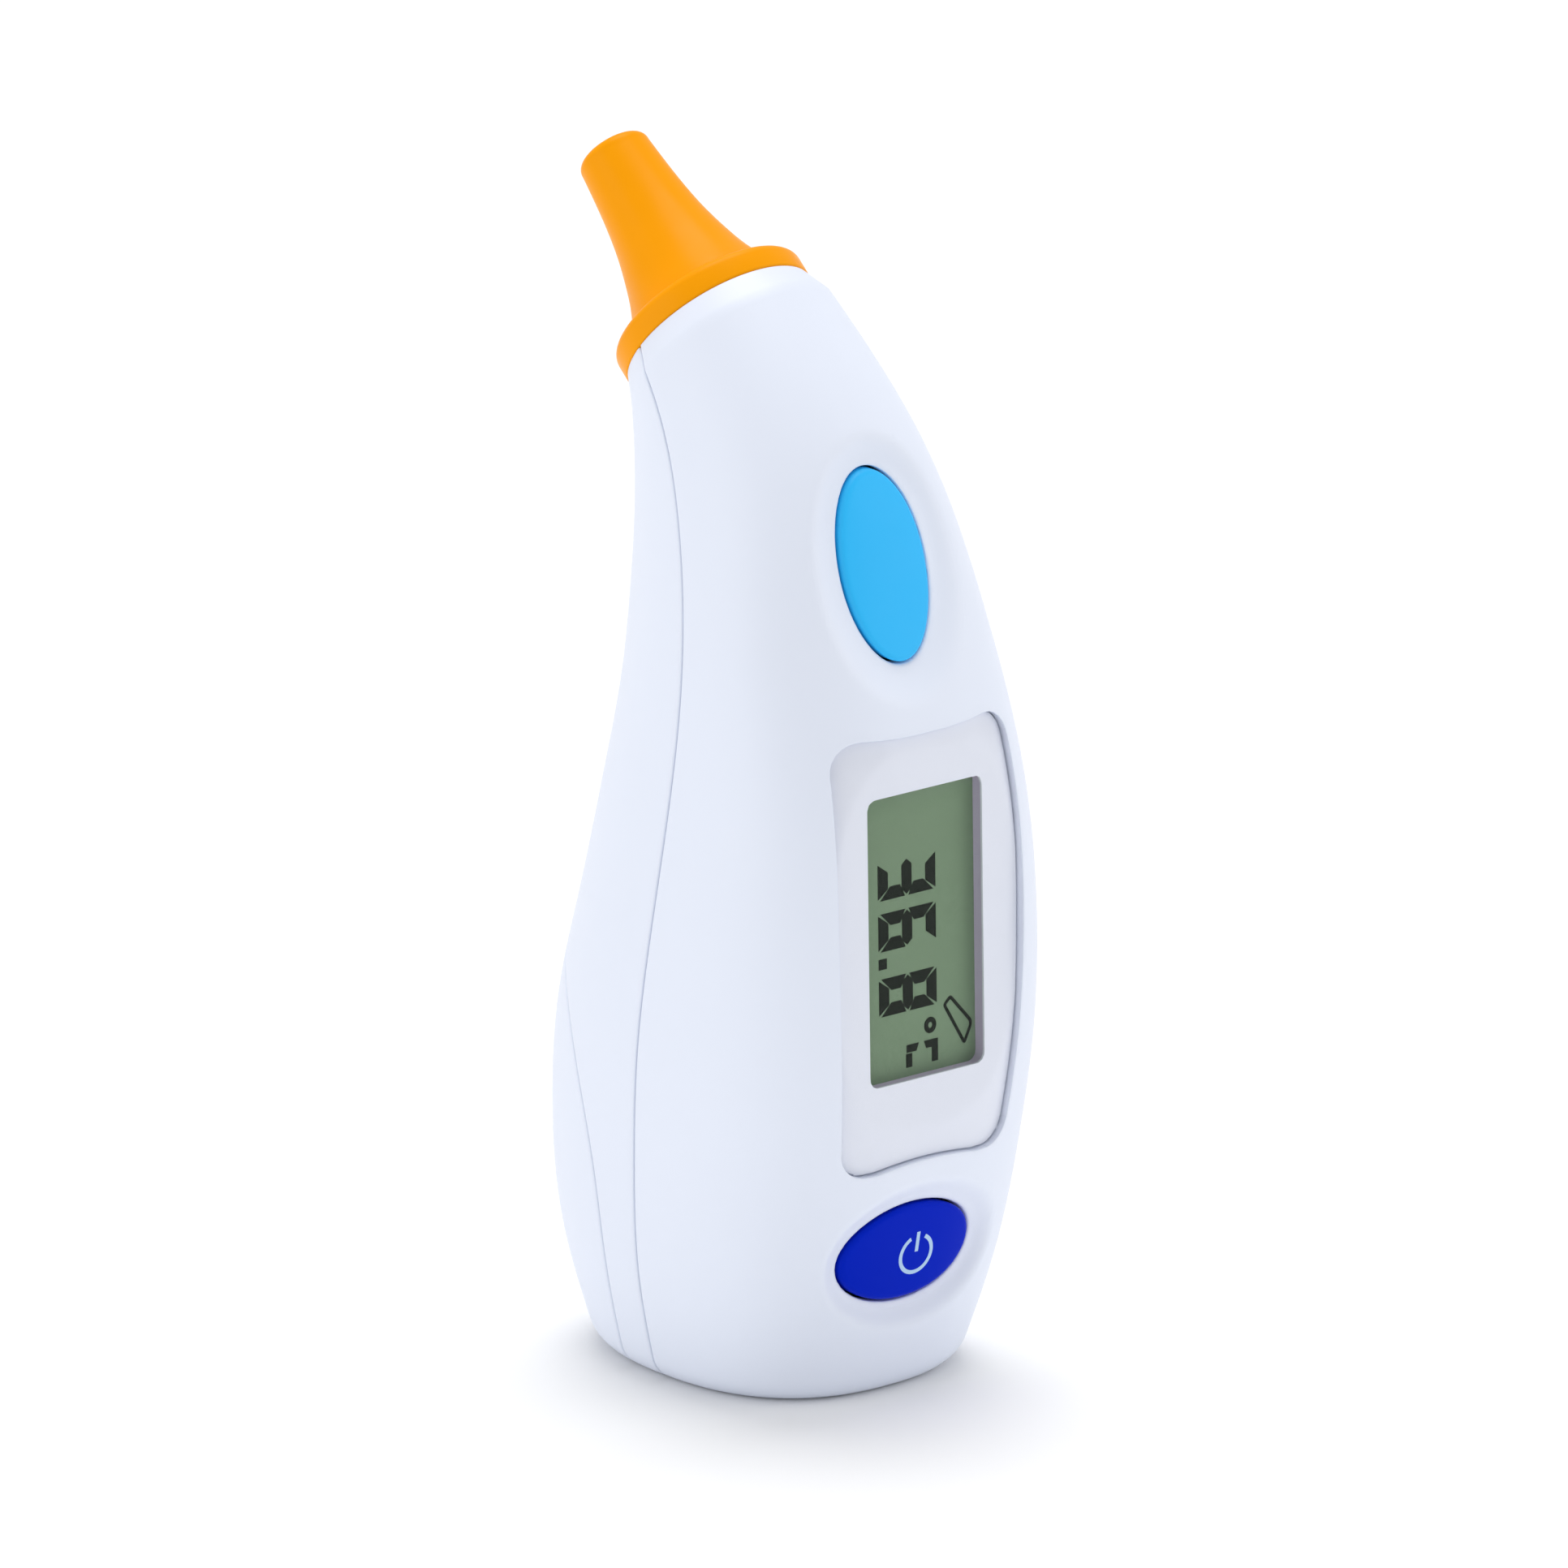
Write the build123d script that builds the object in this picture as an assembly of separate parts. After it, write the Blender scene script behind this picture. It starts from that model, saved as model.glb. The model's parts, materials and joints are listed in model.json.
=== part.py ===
from build123d import *
import math
import os

# Digital ear thermometer, standing on its flat base.  Millimetres.
# +Z is up, the display and the buttons face -Y, the probe leans back towards +Y,
# and the body is symmetric about X = 0.  The origin is the centre of the standing base.

# ---------------------------------------------------------------- driving dimensions
# Body stations from the base to the neck: height, backward tilt in degrees, centre y,
# depth in front of the centre, depth behind it, half-width, and the superellipse
# exponents of the front and the back half of the section.
STATIONS = [
    (0.0, 0.0, -1.5, 21.0, 22.1, 18.9, 2.4, 2.4),
    (14.0, 0.0, -1.7, 23.9, 27.2, 22.0, 2.9, 2.4),
    (28.0, 0.0, -2.5, 25.8, 29.4, 23.3, 3.1, 2.4),
    (43.0, 0.0, -4.0, 26.5, 29.0, 24.0, 3.1, 2.4),
    (58.0, 3.0, -5.9, 25.1, 26.9, 23.4, 3.1, 2.4),
    (74.0, 8.0, -7.1, 22.5, 25.8, 21.5, 3.0, 2.3),
    (90.0, 17.0, -6.9, 17.7, 24.5, 19.5, 2.7, 2.2),
    (105.5, 31.0, -2.4, 17.0, 22.3, 16.4, 2.3, 2.1),
]
SECTION_POINTS = 32
BASE_FILLET = 3.0
WALL = 2.4

# Collar that carries the probe: a cone whose axis leans back from +Z.
AXIS_TILT = 48.5
COLLAR_Y, COLLAR_Z = 9.55, 122.9
COLLAR_BASE_S, COLLAR_BASE_R = -3.3, 13.5
COLLAR_TOP_R = 12.2
COLLAR_BORE_R = 10.4

# Lines between the outer pieces.
SEAM_GAP = 0.2
COVER_GAP = 0.3
COVER_LINE = [
    (4.7, -5.0),
    (4.7, 10.0),
    (5.5, 24.0),
    (9.0, 37.3),
    (13.5, 46.3),
    (18.5, 50.5),
    (26.0, 52.0),
]
SHELF = 1.4
LIP = 1.0
LIP_REACH = 1.6
LIP_CLEARANCE = 0.12

# Buttons: centre height, half-width and half-height of the ellipse as seen from the front,
# and how far the face lies below the surrounding surface.
SCAN_Z, SCAN_A, SCAN_B, SCAN_SUNK = 100.85, 6.2, 10.85, 1.1
POWER_Z, POWER_A, POWER_B, POWER_SUNK = 18.0, 9.8, 6.05, 1.4
BUTTON_GAP = 0.35
BUTTON_FACE = 1.5
BUTTON_RIM = 1.3
FLANGE_REACH = 1.2
FLANGE = 0.8
SCOOP = 1.9
POST_R = 1.6

# Display: a plane that leans back by a degree carries the printed mask and the liquid crystal cell.
# Depths are measured backwards from that plane.
DISPLAY_Y, DISPLAY_Z, DISPLAY_TILT = -28.05, 57.9, 1.15
OPENING_W, OPENING_H, OPENING_R = 17.5, 35.0, 1.2
LENS_EDGE = 0.85
LENS_CORNER = 3.6
LENS_GAP = 0.12
SKIN = 0.05
MASK = 0.3
LCD_DEPTH = 1.9
LCD_W, LCD_H = 20.0, 39.6
REFLECTOR_W = 16.8
GLASS = 1.1
POLARIZER = 0.2
WINDOW_W, WINDOW_H = 21.8, 41.4
HOLDER_W, HOLDER_H = 24.4, 45.0
ZEBRA_W, ZEBRA_H, ZEBRA_X = 1.3, 35.0, 9.2

# Main board and what stands on it.
BOARD_FRONT, BOARD = -16.6, 1.6
BOARD_BACK = BOARD_FRONT + BOARD
BOARD_HALF, BOARD_LOW, BOARD_HIGH = 12.3, 9.0, 99.0
SWITCH_SIZE, SWITCH_H, PLUNGER_R, PLUNGER_H = 6.0, 2.2, 1.5, 0.9
SCAN_SWITCH_Z = 95.2
BOARD_SCREWS = [(-9.6, 85.6), (9.6, 85.6), (-9.6, 28.6), (9.6, 28.6)]
BOARD_SCREW_R, BOARD_HEAD_R, BOARD_HEAD_H, BOARD_BOSS_R = 0.95, 1.9, 1.3, 2.3
HOUSING_SCREWS = [(-15.9, 17.0), (15.9, 17.0), (-15.6, 45.0), (15.6, 45.0)]
HOUSING_SCREW_R, HOUSING_HEAD_R, HOUSING_HEAD_H, POST_OUTER_R = 1.15, 2.1, 1.5, 2.8
POST_MEET, HEAD_SEAT = -6.3, -1.0
PILOT_GAP = 0.06

# Batteries: two AAA cells side by side, standing on their ends.
CELL_R, CELL_BODY, NUB_R, NUB_H = 5.25, 43.5, 1.9, 1.0
CELL_X, CELL_Y = 5.7, 13.1
TRAY_X, TRAY_FRONT, TRAY_BACK, TRAY_LOW, TRAY_HIGH, TRAY_WALL = 12.3, 6.2, 19.0, 2.9, 52.3, 1.1
TRAY_GAP = 0.15
CONTACT = 0.3
CONTACT_LOW = TRAY_LOW + TRAY_WALL
CONTACT_HIGH = TRAY_HIGH - TRAY_WALL
SPRING_WIRE, SPRING_R = 0.35, 2.6
TAB_X, TAB_W = 4.0, 1.4
BATTERY_WIRE_R, SENSOR_WIRE_R = 0.6, 0.3

# Probe, measured as radius and distance along its axis from the top of the collar.
FLANGE_R, FLANGE_H = 12.3, 3.5
CONE = [(9.6, 3.5), (7.95, 7.0), (6.85, 10.4), (5.95, 14.0), (5.27, 18.0), (4.8, 22.0), (4.5, 25.2)]
TIP_END, TIP_BORE_R = 26.5, 2.7
RIM_TOP, RIM_MIDDLE = (3.4, TIP_END), (4.15, 26.15)
WINDOW_LOW, WINDOW_HIGH = 25.3, 25.8
FLANGE_EDGE = 1.2
NOSE_BORE = [(8.2, 2.0), (6.6, 6.6), (5.7, 9.6), (3.1, 14.5), (3.1, WINDOW_LOW)]
SPIGOT_R, SPIGOT_LOW = 10.2, -2.5
SEAL_IN, SEAL_OUT, SEAL_H = 10.5, 11.6, 0.6
MOUNT_LOW, MOUNT_HIGH, MOUNT_TUBE_HIGH = -5.5, -2.7, 6.2
MOUNT_BORE_R, MOUNT_TUBE_R = 5.5, 6.2
NOSE_SCREW_RING, NOSE_SCREW_R, NOSE_HEAD_R, NOSE_HEAD_H = 9.2, 0.7, 1.2, 1.1
SLEEVE_IN_R, GUIDE_R, GUIDE_BORE_R, GUIDE_LOW, GUIDE_HIGH = 4.7, 2.0, 1.6, 7.9, 25.2
SLEEVE = [
    (SLEEVE_IN_R, -1.0),
    (5.45, -1.0),
    (5.45, 9.0),
    (3.0, 10.2),
    (3.0, GUIDE_HIGH),
    (GUIDE_R + SKIN, GUIDE_HIGH),
    (GUIDE_R + SKIN, GUIDE_LOW - 0.1),
    (SLEEVE_IN_R, GUIDE_LOW - 0.1),
]
CAN_RIM_R, CAN_R, CAN_LOW, CAN_RIM_H, CAN_HIGH = 4.6, 4.05, 2.4, 0.5, 7.0
FILTER_R, FILTER_H = 1.3, 0.2
RETAINER_IN_R, RETAINER_LOW = 3.1, 0.4
LEAD_RING, LEAD_R, LEAD_LOW = 2.54, 0.23, -3.5
FAR = 90.0


# ---------------------------------------------------------------- body surface
def natural_spline(xs, ys):
    """Natural cubic spline through the points, returned as a function of x."""
    n = len(xs)
    gaps = [xs[i + 1] - xs[i] for i in range(n - 1)]
    diagonal, upper, right = [1.0] * n, [0.0] * n, [0.0] * n
    for i in range(1, n - 1):
        bend = 6 * ((ys[i + 1] - ys[i]) / gaps[i] - (ys[i] - ys[i - 1]) / gaps[i - 1])
        ratio = gaps[i - 1] / diagonal[i - 1]
        diagonal[i] = 2 * (gaps[i - 1] + gaps[i]) - ratio * upper[i - 1]
        upper[i] = gaps[i]
        right[i] = bend - ratio * right[i - 1]
    bends = [0.0] * n
    for i in range(n - 2, 0, -1):
        bends[i] = (right[i] - upper[i] * bends[i + 1]) / diagonal[i]

    def value(x):
        i = max(0, min(n - 2, sum(x >= known for known in xs) - 1))
        below, above = x - xs[i], xs[i + 1] - x
        curve = (bends[i] * above**3 + bends[i + 1] * below**3) / (6 * gaps[i])
        left = (ys[i] / gaps[i] - bends[i] * gaps[i] / 6) * above
        return curve + left + (ys[i + 1] / gaps[i] - bends[i + 1] * gaps[i] / 6) * below

    return value


def on_axis(s):
    """Point on the probe axis, s along it from the top of the collar."""
    lean = math.radians(AXIS_TILT)
    return Vector(0, COLLAR_Y + s * math.sin(lean), COLLAR_Z + s * math.cos(lean))


def collar_station(s, radius):
    centre = on_axis(s)
    return (centre.Z, AXIS_TILT, centre.Y, radius, radius, radius, 2.0, 2.0)


KEY_STATIONS = STATIONS + [collar_station(COLLAR_BASE_S, COLLAR_BASE_R)]
AXIS_PLANE = Plane(origin=on_axis(0), x_dir=(1, 0, 0), z_dir=on_axis(1) - on_axis(0))


def all_stations():
    """The key stations and one more halfway between each pair."""
    heights = [station[0] for station in KEY_STATIONS]
    curves = [natural_spline(heights, [station[k] for station in KEY_STATIONS]) for k in range(8)]
    levels = []
    for low, high in zip(heights, heights[1:]):
        levels += [low, (low + high) / 2]
    return [tuple(curve(z) for curve in curves) for z in levels] + [KEY_STATIONS[-1]]


def section(station, inset):
    """Closed smooth outline of one body station, moved inwards by inset."""
    z, tilt, yc, front, back, half, n_front, n_back = station
    lean = math.radians(tilt)
    points = []
    for i in range(SECTION_POINTS):
        turn = 2 * math.pi * (i + 0.5) / SECTION_POINTS
        c, s = math.cos(turn), math.sin(turn)
        power, depth = (n_front, front - inset) if s < 0 else (n_back, back - inset)
        reach = (abs(c / (half - inset)) ** power + abs(s / depth) ** power) ** (-1 / power)
        points.append(Vector(reach * c, yc + reach * s * math.cos(lean), z - reach * s * math.sin(lean)))
    steps = [i / SECTION_POINTS for i in range(SECTION_POINTS + 1)]
    return Wire([Edge.make_spline(points, periodic=True, parameters=steps)])


ALL_STATIONS = all_stations()
made_bodies = {}


def body(inset):
    """The body's outer form moved inwards by inset, up to the collar's base."""
    if inset not in made_bodies:
        form = Solid.make_loft([section(station, inset) for station in ALL_STATIONS])
        above_floor = Pos(0, 0, FAR + inset) * Box(2 * FAR, 2 * FAR, 2 * FAR)
        made_bodies[inset] = form & above_floor if inset > 0 else form
    return made_bodies[inset]


# ---------------------------------------------------------------- helpers
def about_axis(*edges):
    """Solid of revolution about the probe axis, from edges whose points are (radius, s)."""
    return AXIS_PLANE * revolve(Plane.XZ * make_face(Curve() + list(edges)), Axis.Z)


def ring_on_axis(outer, inner, low, high):
    corners = [(inner, low), (outer, low), (outer, high), (inner, high)]
    return about_axis(Polyline(*corners, close=True))


def peg_on_axis(ring, turn, radius, low, high):
    """Small cylinder parallel to the probe axis."""
    place = Rot(0, 0, turn) * Pos(ring, 0, (low + high) / 2)
    return AXIS_PLANE * place * Cylinder(radius, high - low)


def across(*edges):
    """Prism across the whole width, from a closed outline in the (y, z) plane."""
    return extrude(Plane.YZ * make_face(Curve() + list(edges)), FAR / 2, both=True)


def through(sketch):
    """Prism along Y from a sketch in the (x, z) plane, from y = 0 forwards."""
    return extrude(Plane.XZ * sketch, FAR)


def rod_y(x, z, radius, low, high):
    return Pos(x, (low + high) / 2, z) * Rot(90, 0, 0) * Cylinder(radius, high - low)


def rod_z(x, y, radius, low, high):
    return Pos(x, y, (low + high) / 2) * Cylinder(radius, high - low)


def block(x_low, x_high, y_low, y_high, z_low, z_high):
    size = (x_high - x_low, y_high - y_low, z_high - z_low)
    return Pos((x_low + x_high) / 2, (y_low + y_high) / 2, (z_low + z_high) / 2) * Box(*size)


def wire(points, bend, radius):
    """Round wire along straight runs joined by arcs."""
    path = FilletPolyline(*points, radius=bend)
    start = Plane(origin=path @ 0, z_dir=path % 0)
    return sweep(start * Circle(radius), path=path)


def save(name, *shapes):
    solids = [solid for shape in shapes for solid in shape.solids()]
    result = solids[0] if len(solids) == 1 else Compound(children=solids)
    export_step(result, f"parts/{name}.step")
    print(name, len(solids), [round(solid.volume, 1) for solid in solids][:6])


# ---------------------------------------------------------------- dividing surfaces
def front_region():
    """Everything in front of the parting line, which follows the widest line of the body."""
    below = (KEY_STATIONS[0][2], -4.0)
    line = [below] + [(station[2], station[0]) for station in KEY_STATIONS[1:]]
    end = on_axis(4)
    lean = math.radians(AXIS_TILT)
    curve = Spline(*line, tangents=((0, 1), (math.sin(lean), math.cos(lean))))
    rest = Polyline(line[-1], (end.Y, end.Z), (end.Y, 2 * FAR), (-FAR, 2 * FAR), (-FAR, -4.0), below)
    return across(curve, rest)


def cover_region():
    """Everything behind and below the edge of the battery cover."""
    first, last = COVER_LINE[0], COVER_LINE[-1]
    rest = Polyline(last, (FAR, last[1] + 2.0), (FAR, first[1]), first)
    return across(Spline(*COVER_LINE), rest)


def on_display(shape):
    """Place a shape drawn about the origin, with y as depth, on the leaning display plane."""
    return Pos(0, DISPLAY_Y, DISPLAY_Z) * Rot(-DISPLAY_TILT, 0, 0) * shape


def behind_display(depth):
    """Everything behind the display plane moved back by depth."""
    return on_display(Pos(0, FAR / 2 + depth, 0) * Box(FAR, FAR, 2 * FAR))


def display_plate(width, height, low, high, corner=0.5):
    """Rounded upright plate from depth low to depth high behind the display plane."""
    plate = extrude(RectangleRounded(width, height, corner), high - low)
    return on_display(Pos(0, high, 0) * Rot(90, 0, 0) * plate)


def lens_prism(grow=0.0):
    """Lens outline along Y: hollow top, bowed sides, lower edge arched over the button."""
    high, low, wide, narrow = 82.9 + grow, 28.7 - grow, 13.1 + grow, 12.1 + grow
    top = ThreePointArc((-wide, high), (0, high - 0.8), (wide, high))
    right = ThreePointArc((wide, high), (13.9 + grow, 55.0), (narrow, low))
    bottom = ThreePointArc((narrow, low), (0, low + 1.7), (-narrow, low))
    left = ThreePointArc((-narrow, low), (-13.9 - grow, 55.0), (-wide, high))
    prism = through(make_face(Curve() + [top, right, bottom, left]))
    return fillet(prism.edges().filter_by(Axis.Y), LENS_CORNER + grow)


def ellipse_prism(z, a, b, grow=0.0):
    return through(Pos(0, z) * Ellipse(a + grow, b + grow))


FRONT = front_region()
COVER = cover_region()


def moved(region, y, z=0.0):
    return Pos(0, y, z) * region


# ---------------------------------------------------------------- outer pieces
def shell():
    """Hollow body with its collar, before it is divided."""
    outer = body(0)
    outer = outer.fillet(BASE_FILLET, outer.edges().group_by(Axis.Z)[0])
    rims = [ALL_STATIONS[-1], collar_station(0, COLLAR_TOP_R)]
    cone = Solid.make_loft([section(rim, 0) for rim in rims], True)
    return outer + cone - body(WALL) - ring_on_axis(COLLAR_BORE_R, 0, -4.5, 3.0)


def button_opening(z, a, b, sunk):
    """What the housing loses at a button: the hole and a stepped scoop around it."""
    hole = ellipse_prism(z, a, b, BUTTON_GAP)
    wide = ellipse_prism(z, a, b, SCOOP) - body(round(sunk * 0.35, 3))
    narrow = ellipse_prism(z, a, b, SCOOP * 0.55) - body(round(sunk * 0.7, 3))
    return [hole, wide, narrow]


def front_housing(hollow):
    part = hollow & FRONT
    pad = lens_prism(1.5) & body(WALL - 0.4)
    part += pad - behind_display(LCD_DEPTH - SKIN)
    for x, z in BOARD_SCREWS:
        part += rod_y(x, z, BOARD_BOSS_R, -FAR / 2, BOARD_FRONT) & body(WALL / 2)
    for x, z in HOUSING_SCREWS:
        part += rod_y(x, z, POST_OUTER_R, -FAR / 2, POST_MEET - SKIN) & body(WALL / 2)
    pocket_floor = body(LENS_EDGE + MASK + 2 * SKIN) & behind_display(MASK + 2 * SKIN)
    part -= lens_prism(LENS_GAP) - pocket_floor
    part -= display_plate(WINDOW_W, WINDOW_H, -10, 14)
    for cut in button_opening(SCAN_Z, SCAN_A, SCAN_B, SCAN_SUNK):
        part -= cut
    for cut in button_opening(POWER_Z, POWER_A, POWER_B, POWER_SUNK):
        part -= cut
    for x, z in BOARD_SCREWS:
        part -= rod_y(x, z, BOARD_SCREW_R + PILOT_GAP, BOARD_FRONT - 5.0, 0)
    for x, z in HOUSING_SCREWS:
        part -= rod_y(x, z, HOUSING_SCREW_R + PILOT_GAP, POST_MEET - 8.5, 0)
    return part


def rear_housing(hollow):
    part = hollow - moved(FRONT, SEAM_GAP) - moved(COVER, -COVER_GAP, COVER_GAP)
    near, far = COVER_GAP + SKIN, COVER_GAP + SKIN + SHELF
    shelf = (moved(COVER, -far, far) - moved(COVER, -near, near)) & body(WALL - 0.4)
    for x, z in HOUSING_SCREWS:
        post = rod_y(x, z, POST_OUTER_R, POST_MEET, FAR / 2) & body(WALL / 2)
        shelf += post - moved(COVER, -near, near)
    part += shelf
    band = moved(FRONT, 2.2) - moved(FRONT, SEAM_GAP)
    lip = (body(WALL - 0.3) - body(WALL + LIP)) & band
    reach = moved(FRONT, 1.0) - moved(FRONT, -LIP_REACH)
    lip += (body(WALL + LIP_CLEARANCE) - body(WALL + LIP)) & reach
    lip -= ring_on_axis(COLLAR_BORE_R + 0.6, 0, -8.0, 3.0)
    part += lip
    for x, z in HOUSING_SCREWS:
        part -= rod_y(x, z, HOUSING_SCREW_R + PILOT_GAP, POST_MEET - 1.0, FAR / 2)
        part -= rod_y(x, z, HOUSING_HEAD_R + 0.2, HEAD_SEAT, FAR / 2)
    wide, front = TRAY_X + TRAY_GAP, TRAY_FRONT - TRAY_GAP
    part -= block(-wide, wide, front, TRAY_BACK + 3, TRAY_LOW - TRAY_GAP, TRAY_HIGH + TRAY_GAP)
    for side in (-1, 1):
        part -= rod_y(side * TAB_X, CONTACT_LOW + CONTACT / 2, BATTERY_WIRE_R + 0.3, 0, TRAY_FRONT)
    return part


def battery_cover(hollow):
    return hollow & COVER


def cover_pad():
    pad = block(-9, 9, CELL_Y + CELL_R + 0.7, FAR / 2, 14, 40)
    return pad & body(WALL) & COVER


def lens():
    rear = body(LENS_EDGE) & behind_display(-SKIN)
    return (lens_prism() & body(0)) - rear


def display_mask():
    front = body(LENS_EDGE + SKIN) & behind_display(0)
    rear = body(LENS_EDGE + SKIN + MASK) & behind_display(MASK)
    sheet = (lens_prism(-LENS_GAP) & front) - rear
    return sheet - display_plate(OPENING_W, OPENING_H, -10, 10, OPENING_R)


def button_cap(z, a, b, sunk, switch_z):
    """Elliptical cap with a hollow back, a flange that keeps it in, and a post to its switch."""
    flange_front = WALL + BUTTON_GAP
    flange_back = round(flange_front + FLANGE, 3)
    cap = (ellipse_prism(z, a, b) & body(sunk)) - body(flange_back)
    cap += (ellipse_prism(z, a, b, FLANGE_REACH) & body(flange_front)) - body(flange_back)
    cap -= ellipse_prism(z, a - BUTTON_RIM, b - BUTTON_RIM) & body(round(sunk + BUTTON_FACE, 3))
    post = rod_y(0, switch_z, POST_R, -FAR / 2, BOARD_FRONT - SWITCH_H - PLUNGER_H)
    return cap + (post & body(round(sunk + BUTTON_FACE / 2, 3)))


def power_icon():
    """Thin inlay in the power button's face: a broken ring with a bar in the gap."""
    ring = Circle(2.6) - Circle(2.1) - Pos(0, 2.4) * Rectangle(2.0, 2.4)
    bar = Pos(0, 1.55) * Rectangle(0.5, 2.5)
    stamp = through(Pos(1.2, POWER_Z - 0.6) * (ring + bar))
    return (stamp & body(POWER_SUNK)) - body(POWER_SUNK + 0.2)


# ---------------------------------------------------------------- display and electronics
def lcd_holder():
    frame = display_plate(WINDOW_W - 0.4, WINDOW_H - 0.4, MASK + SKIN, LCD_DEPTH)
    frame &= body(LENS_EDGE + MASK + 2 * SKIN)
    skirt = display_plate(HOLDER_W, HOLDER_H, LCD_DEPTH, 20.0) & body(WALL + 0.3)
    part = frame + (skirt - block(-FAR, FAR, BOARD_FRONT, FAR, 0, FAR))
    part -= display_plate(OPENING_W + 0.4, OPENING_H + 0.4, -1, 5, OPENING_R)
    return part - display_plate(LCD_W + 0.3, LCD_H + 0.3, LCD_DEPTH, 20.0)


def zebra_strip(side):
    high, low = DISPLAY_Z + ZEBRA_H / 2, DISPLAY_Z - ZEBRA_H / 2
    x = side * ZEBRA_X
    strip = block(x - ZEBRA_W / 2, x + ZEBRA_W / 2, -FAR / 2, BOARD_FRONT, low, high)
    return strip & behind_display(LCD_DEPTH + POLARIZER + 2 * GLASS)


def main_board():
    top = BOARD_HALF - 2.0
    corners = [(-BOARD_HALF, BOARD_LOW), (BOARD_HALF, BOARD_LOW), (BOARD_HALF, 80), (top, BOARD_HIGH)]
    corners += [(-top, BOARD_HIGH), (-BOARD_HALF, 80)]
    outline = make_face(Polyline(*corners, close=True))
    board = Pos(0, BOARD_BACK, 0) * extrude(Plane.XZ * outline, BOARD)
    for x, z in BOARD_SCREWS:
        board -= rod_y(x, z, BOARD_SCREW_R + PILOT_GAP, BOARD_FRONT - 1, BOARD_BACK + 1)
    return board


def on_board(x, z, width, height, thick, back=True):
    """Block soldered to the back or the front of the main board."""
    low, high = (BOARD_BACK, BOARD_BACK + thick) if back else (BOARD_FRONT - thick, BOARD_FRONT)
    return block(x - width / 2, x + width / 2, low, high, z - height / 2, z + height / 2)


def switch_body(z):
    case = on_board(0, z, SWITCH_SIZE, SWITCH_SIZE, SWITCH_H, back=False)
    return case - rod_y(0, z, PLUNGER_R + 0.15, BOARD_FRONT - SWITCH_H - 1, BOARD_FRONT - 0.4)


def switch_plunger(z):
    face = BOARD_FRONT - SWITCH_H - PLUNGER_H
    return rod_y(0, z, PLUNGER_R, face, face + PLUNGER_H + 0.9)


def board_screw(x, z):
    shank = rod_y(x, z, BOARD_SCREW_R, BOARD_FRONT - 4.5, BOARD_BACK)
    return shank + rod_y(x, z, BOARD_HEAD_R, BOARD_BACK, BOARD_BACK + BOARD_HEAD_H)


def housing_screw(x, z):
    shank = rod_y(x, z, HOUSING_SCREW_R, POST_MEET - 8.0, HEAD_SEAT)
    head = rod_y(x, z, HOUSING_HEAD_R, HEAD_SEAT, HEAD_SEAT + HOUSING_HEAD_H)
    return shank + head


# ---------------------------------------------------------------- batteries
def battery_tray():
    part = block(-TRAY_X, TRAY_X, TRAY_FRONT, TRAY_BACK, TRAY_LOW, TRAY_HIGH)
    inner = TRAY_X - TRAY_WALL
    part -= block(-inner, inner, TRAY_FRONT + TRAY_WALL, FAR, CONTACT_LOW, CONTACT_HIGH)
    part -= block(-FAR, FAR, CELL_Y + 1.0, FAR, CONTACT_LOW + 3, CONTACT_HIGH - 3)
    part &= body(WALL + 0.4)
    for side in (-1, 1):
        part -= contact_tab(side, 0.1)
    return part


def contact_tab(side, grow=0.0):
    x, half = side * TAB_X, TAB_W / 2 + grow
    low, high = CONTACT_LOW - grow, CONTACT_LOW + CONTACT + grow
    return block(x - half, x + half, TRAY_FRONT - 0.8, CELL_Y - 4, low, high)


def contact_plate(x_low, x_high, low):
    return block(x_low, x_high, CELL_Y - 4.4, CELL_Y + 3.6, low, low + CONTACT)


def spring(x, low, high):
    """Compressed spring, as closed turns stacked on each other."""
    turns = round((high - low) / (2 * SPRING_WIRE))
    part = None
    for i in range(turns):
        z = low + (i + 0.5) * (high - low) / turns
        turn = Pos(x, CELL_Y, z) * Torus(SPRING_R, SPRING_WIRE * 1.1)
        part = turn if part is None else part + turn
    return part & block(-FAR, FAR, 0, FAR, low, high)


def cell(side):
    """AAA cell: the left one has its positive end up, the right one down."""
    x = side * CELL_X
    if side < 0:
        low = CONTACT_HIGH - CONTACT - NUB_H - CELL_BODY
        nub_low, nub_high = low, low + CELL_BODY + NUB_H
    else:
        low = CONTACT_LOW + CONTACT + NUB_H
        nub_low, nub_high = low - NUB_H, low
    can = rod_z(x, CELL_Y, CELL_R, low, low + CELL_BODY)
    return can + rod_z(x, CELL_Y, NUB_R, nub_low, nub_high)


def battery_contacts():
    low, high = CONTACT_LOW + CONTACT, CONTACT_HIGH - CONTACT
    negative = contact_plate(-10.2, -1.2, CONTACT_LOW) + contact_tab(-1)
    negative += spring(-CELL_X, low, high - NUB_H - CELL_BODY)
    positive = contact_plate(1.2, 10.2, CONTACT_LOW) + contact_tab(1)
    bridge = contact_plate(-10.2, 10.2, high) + spring(CELL_X, low + NUB_H + CELL_BODY, high)
    return negative, positive, bridge


def battery_wire(side):
    x, z = side * TAB_X, CONTACT_LOW + CONTACT / 2
    points = [(x, TRAY_FRONT - 0.8, z), (x, -3.5, z), (x, -9.5, 11.5), (x, BOARD_BACK, 11.5)]
    return wire(points, 2.2, BATTERY_WIRE_R)


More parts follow.
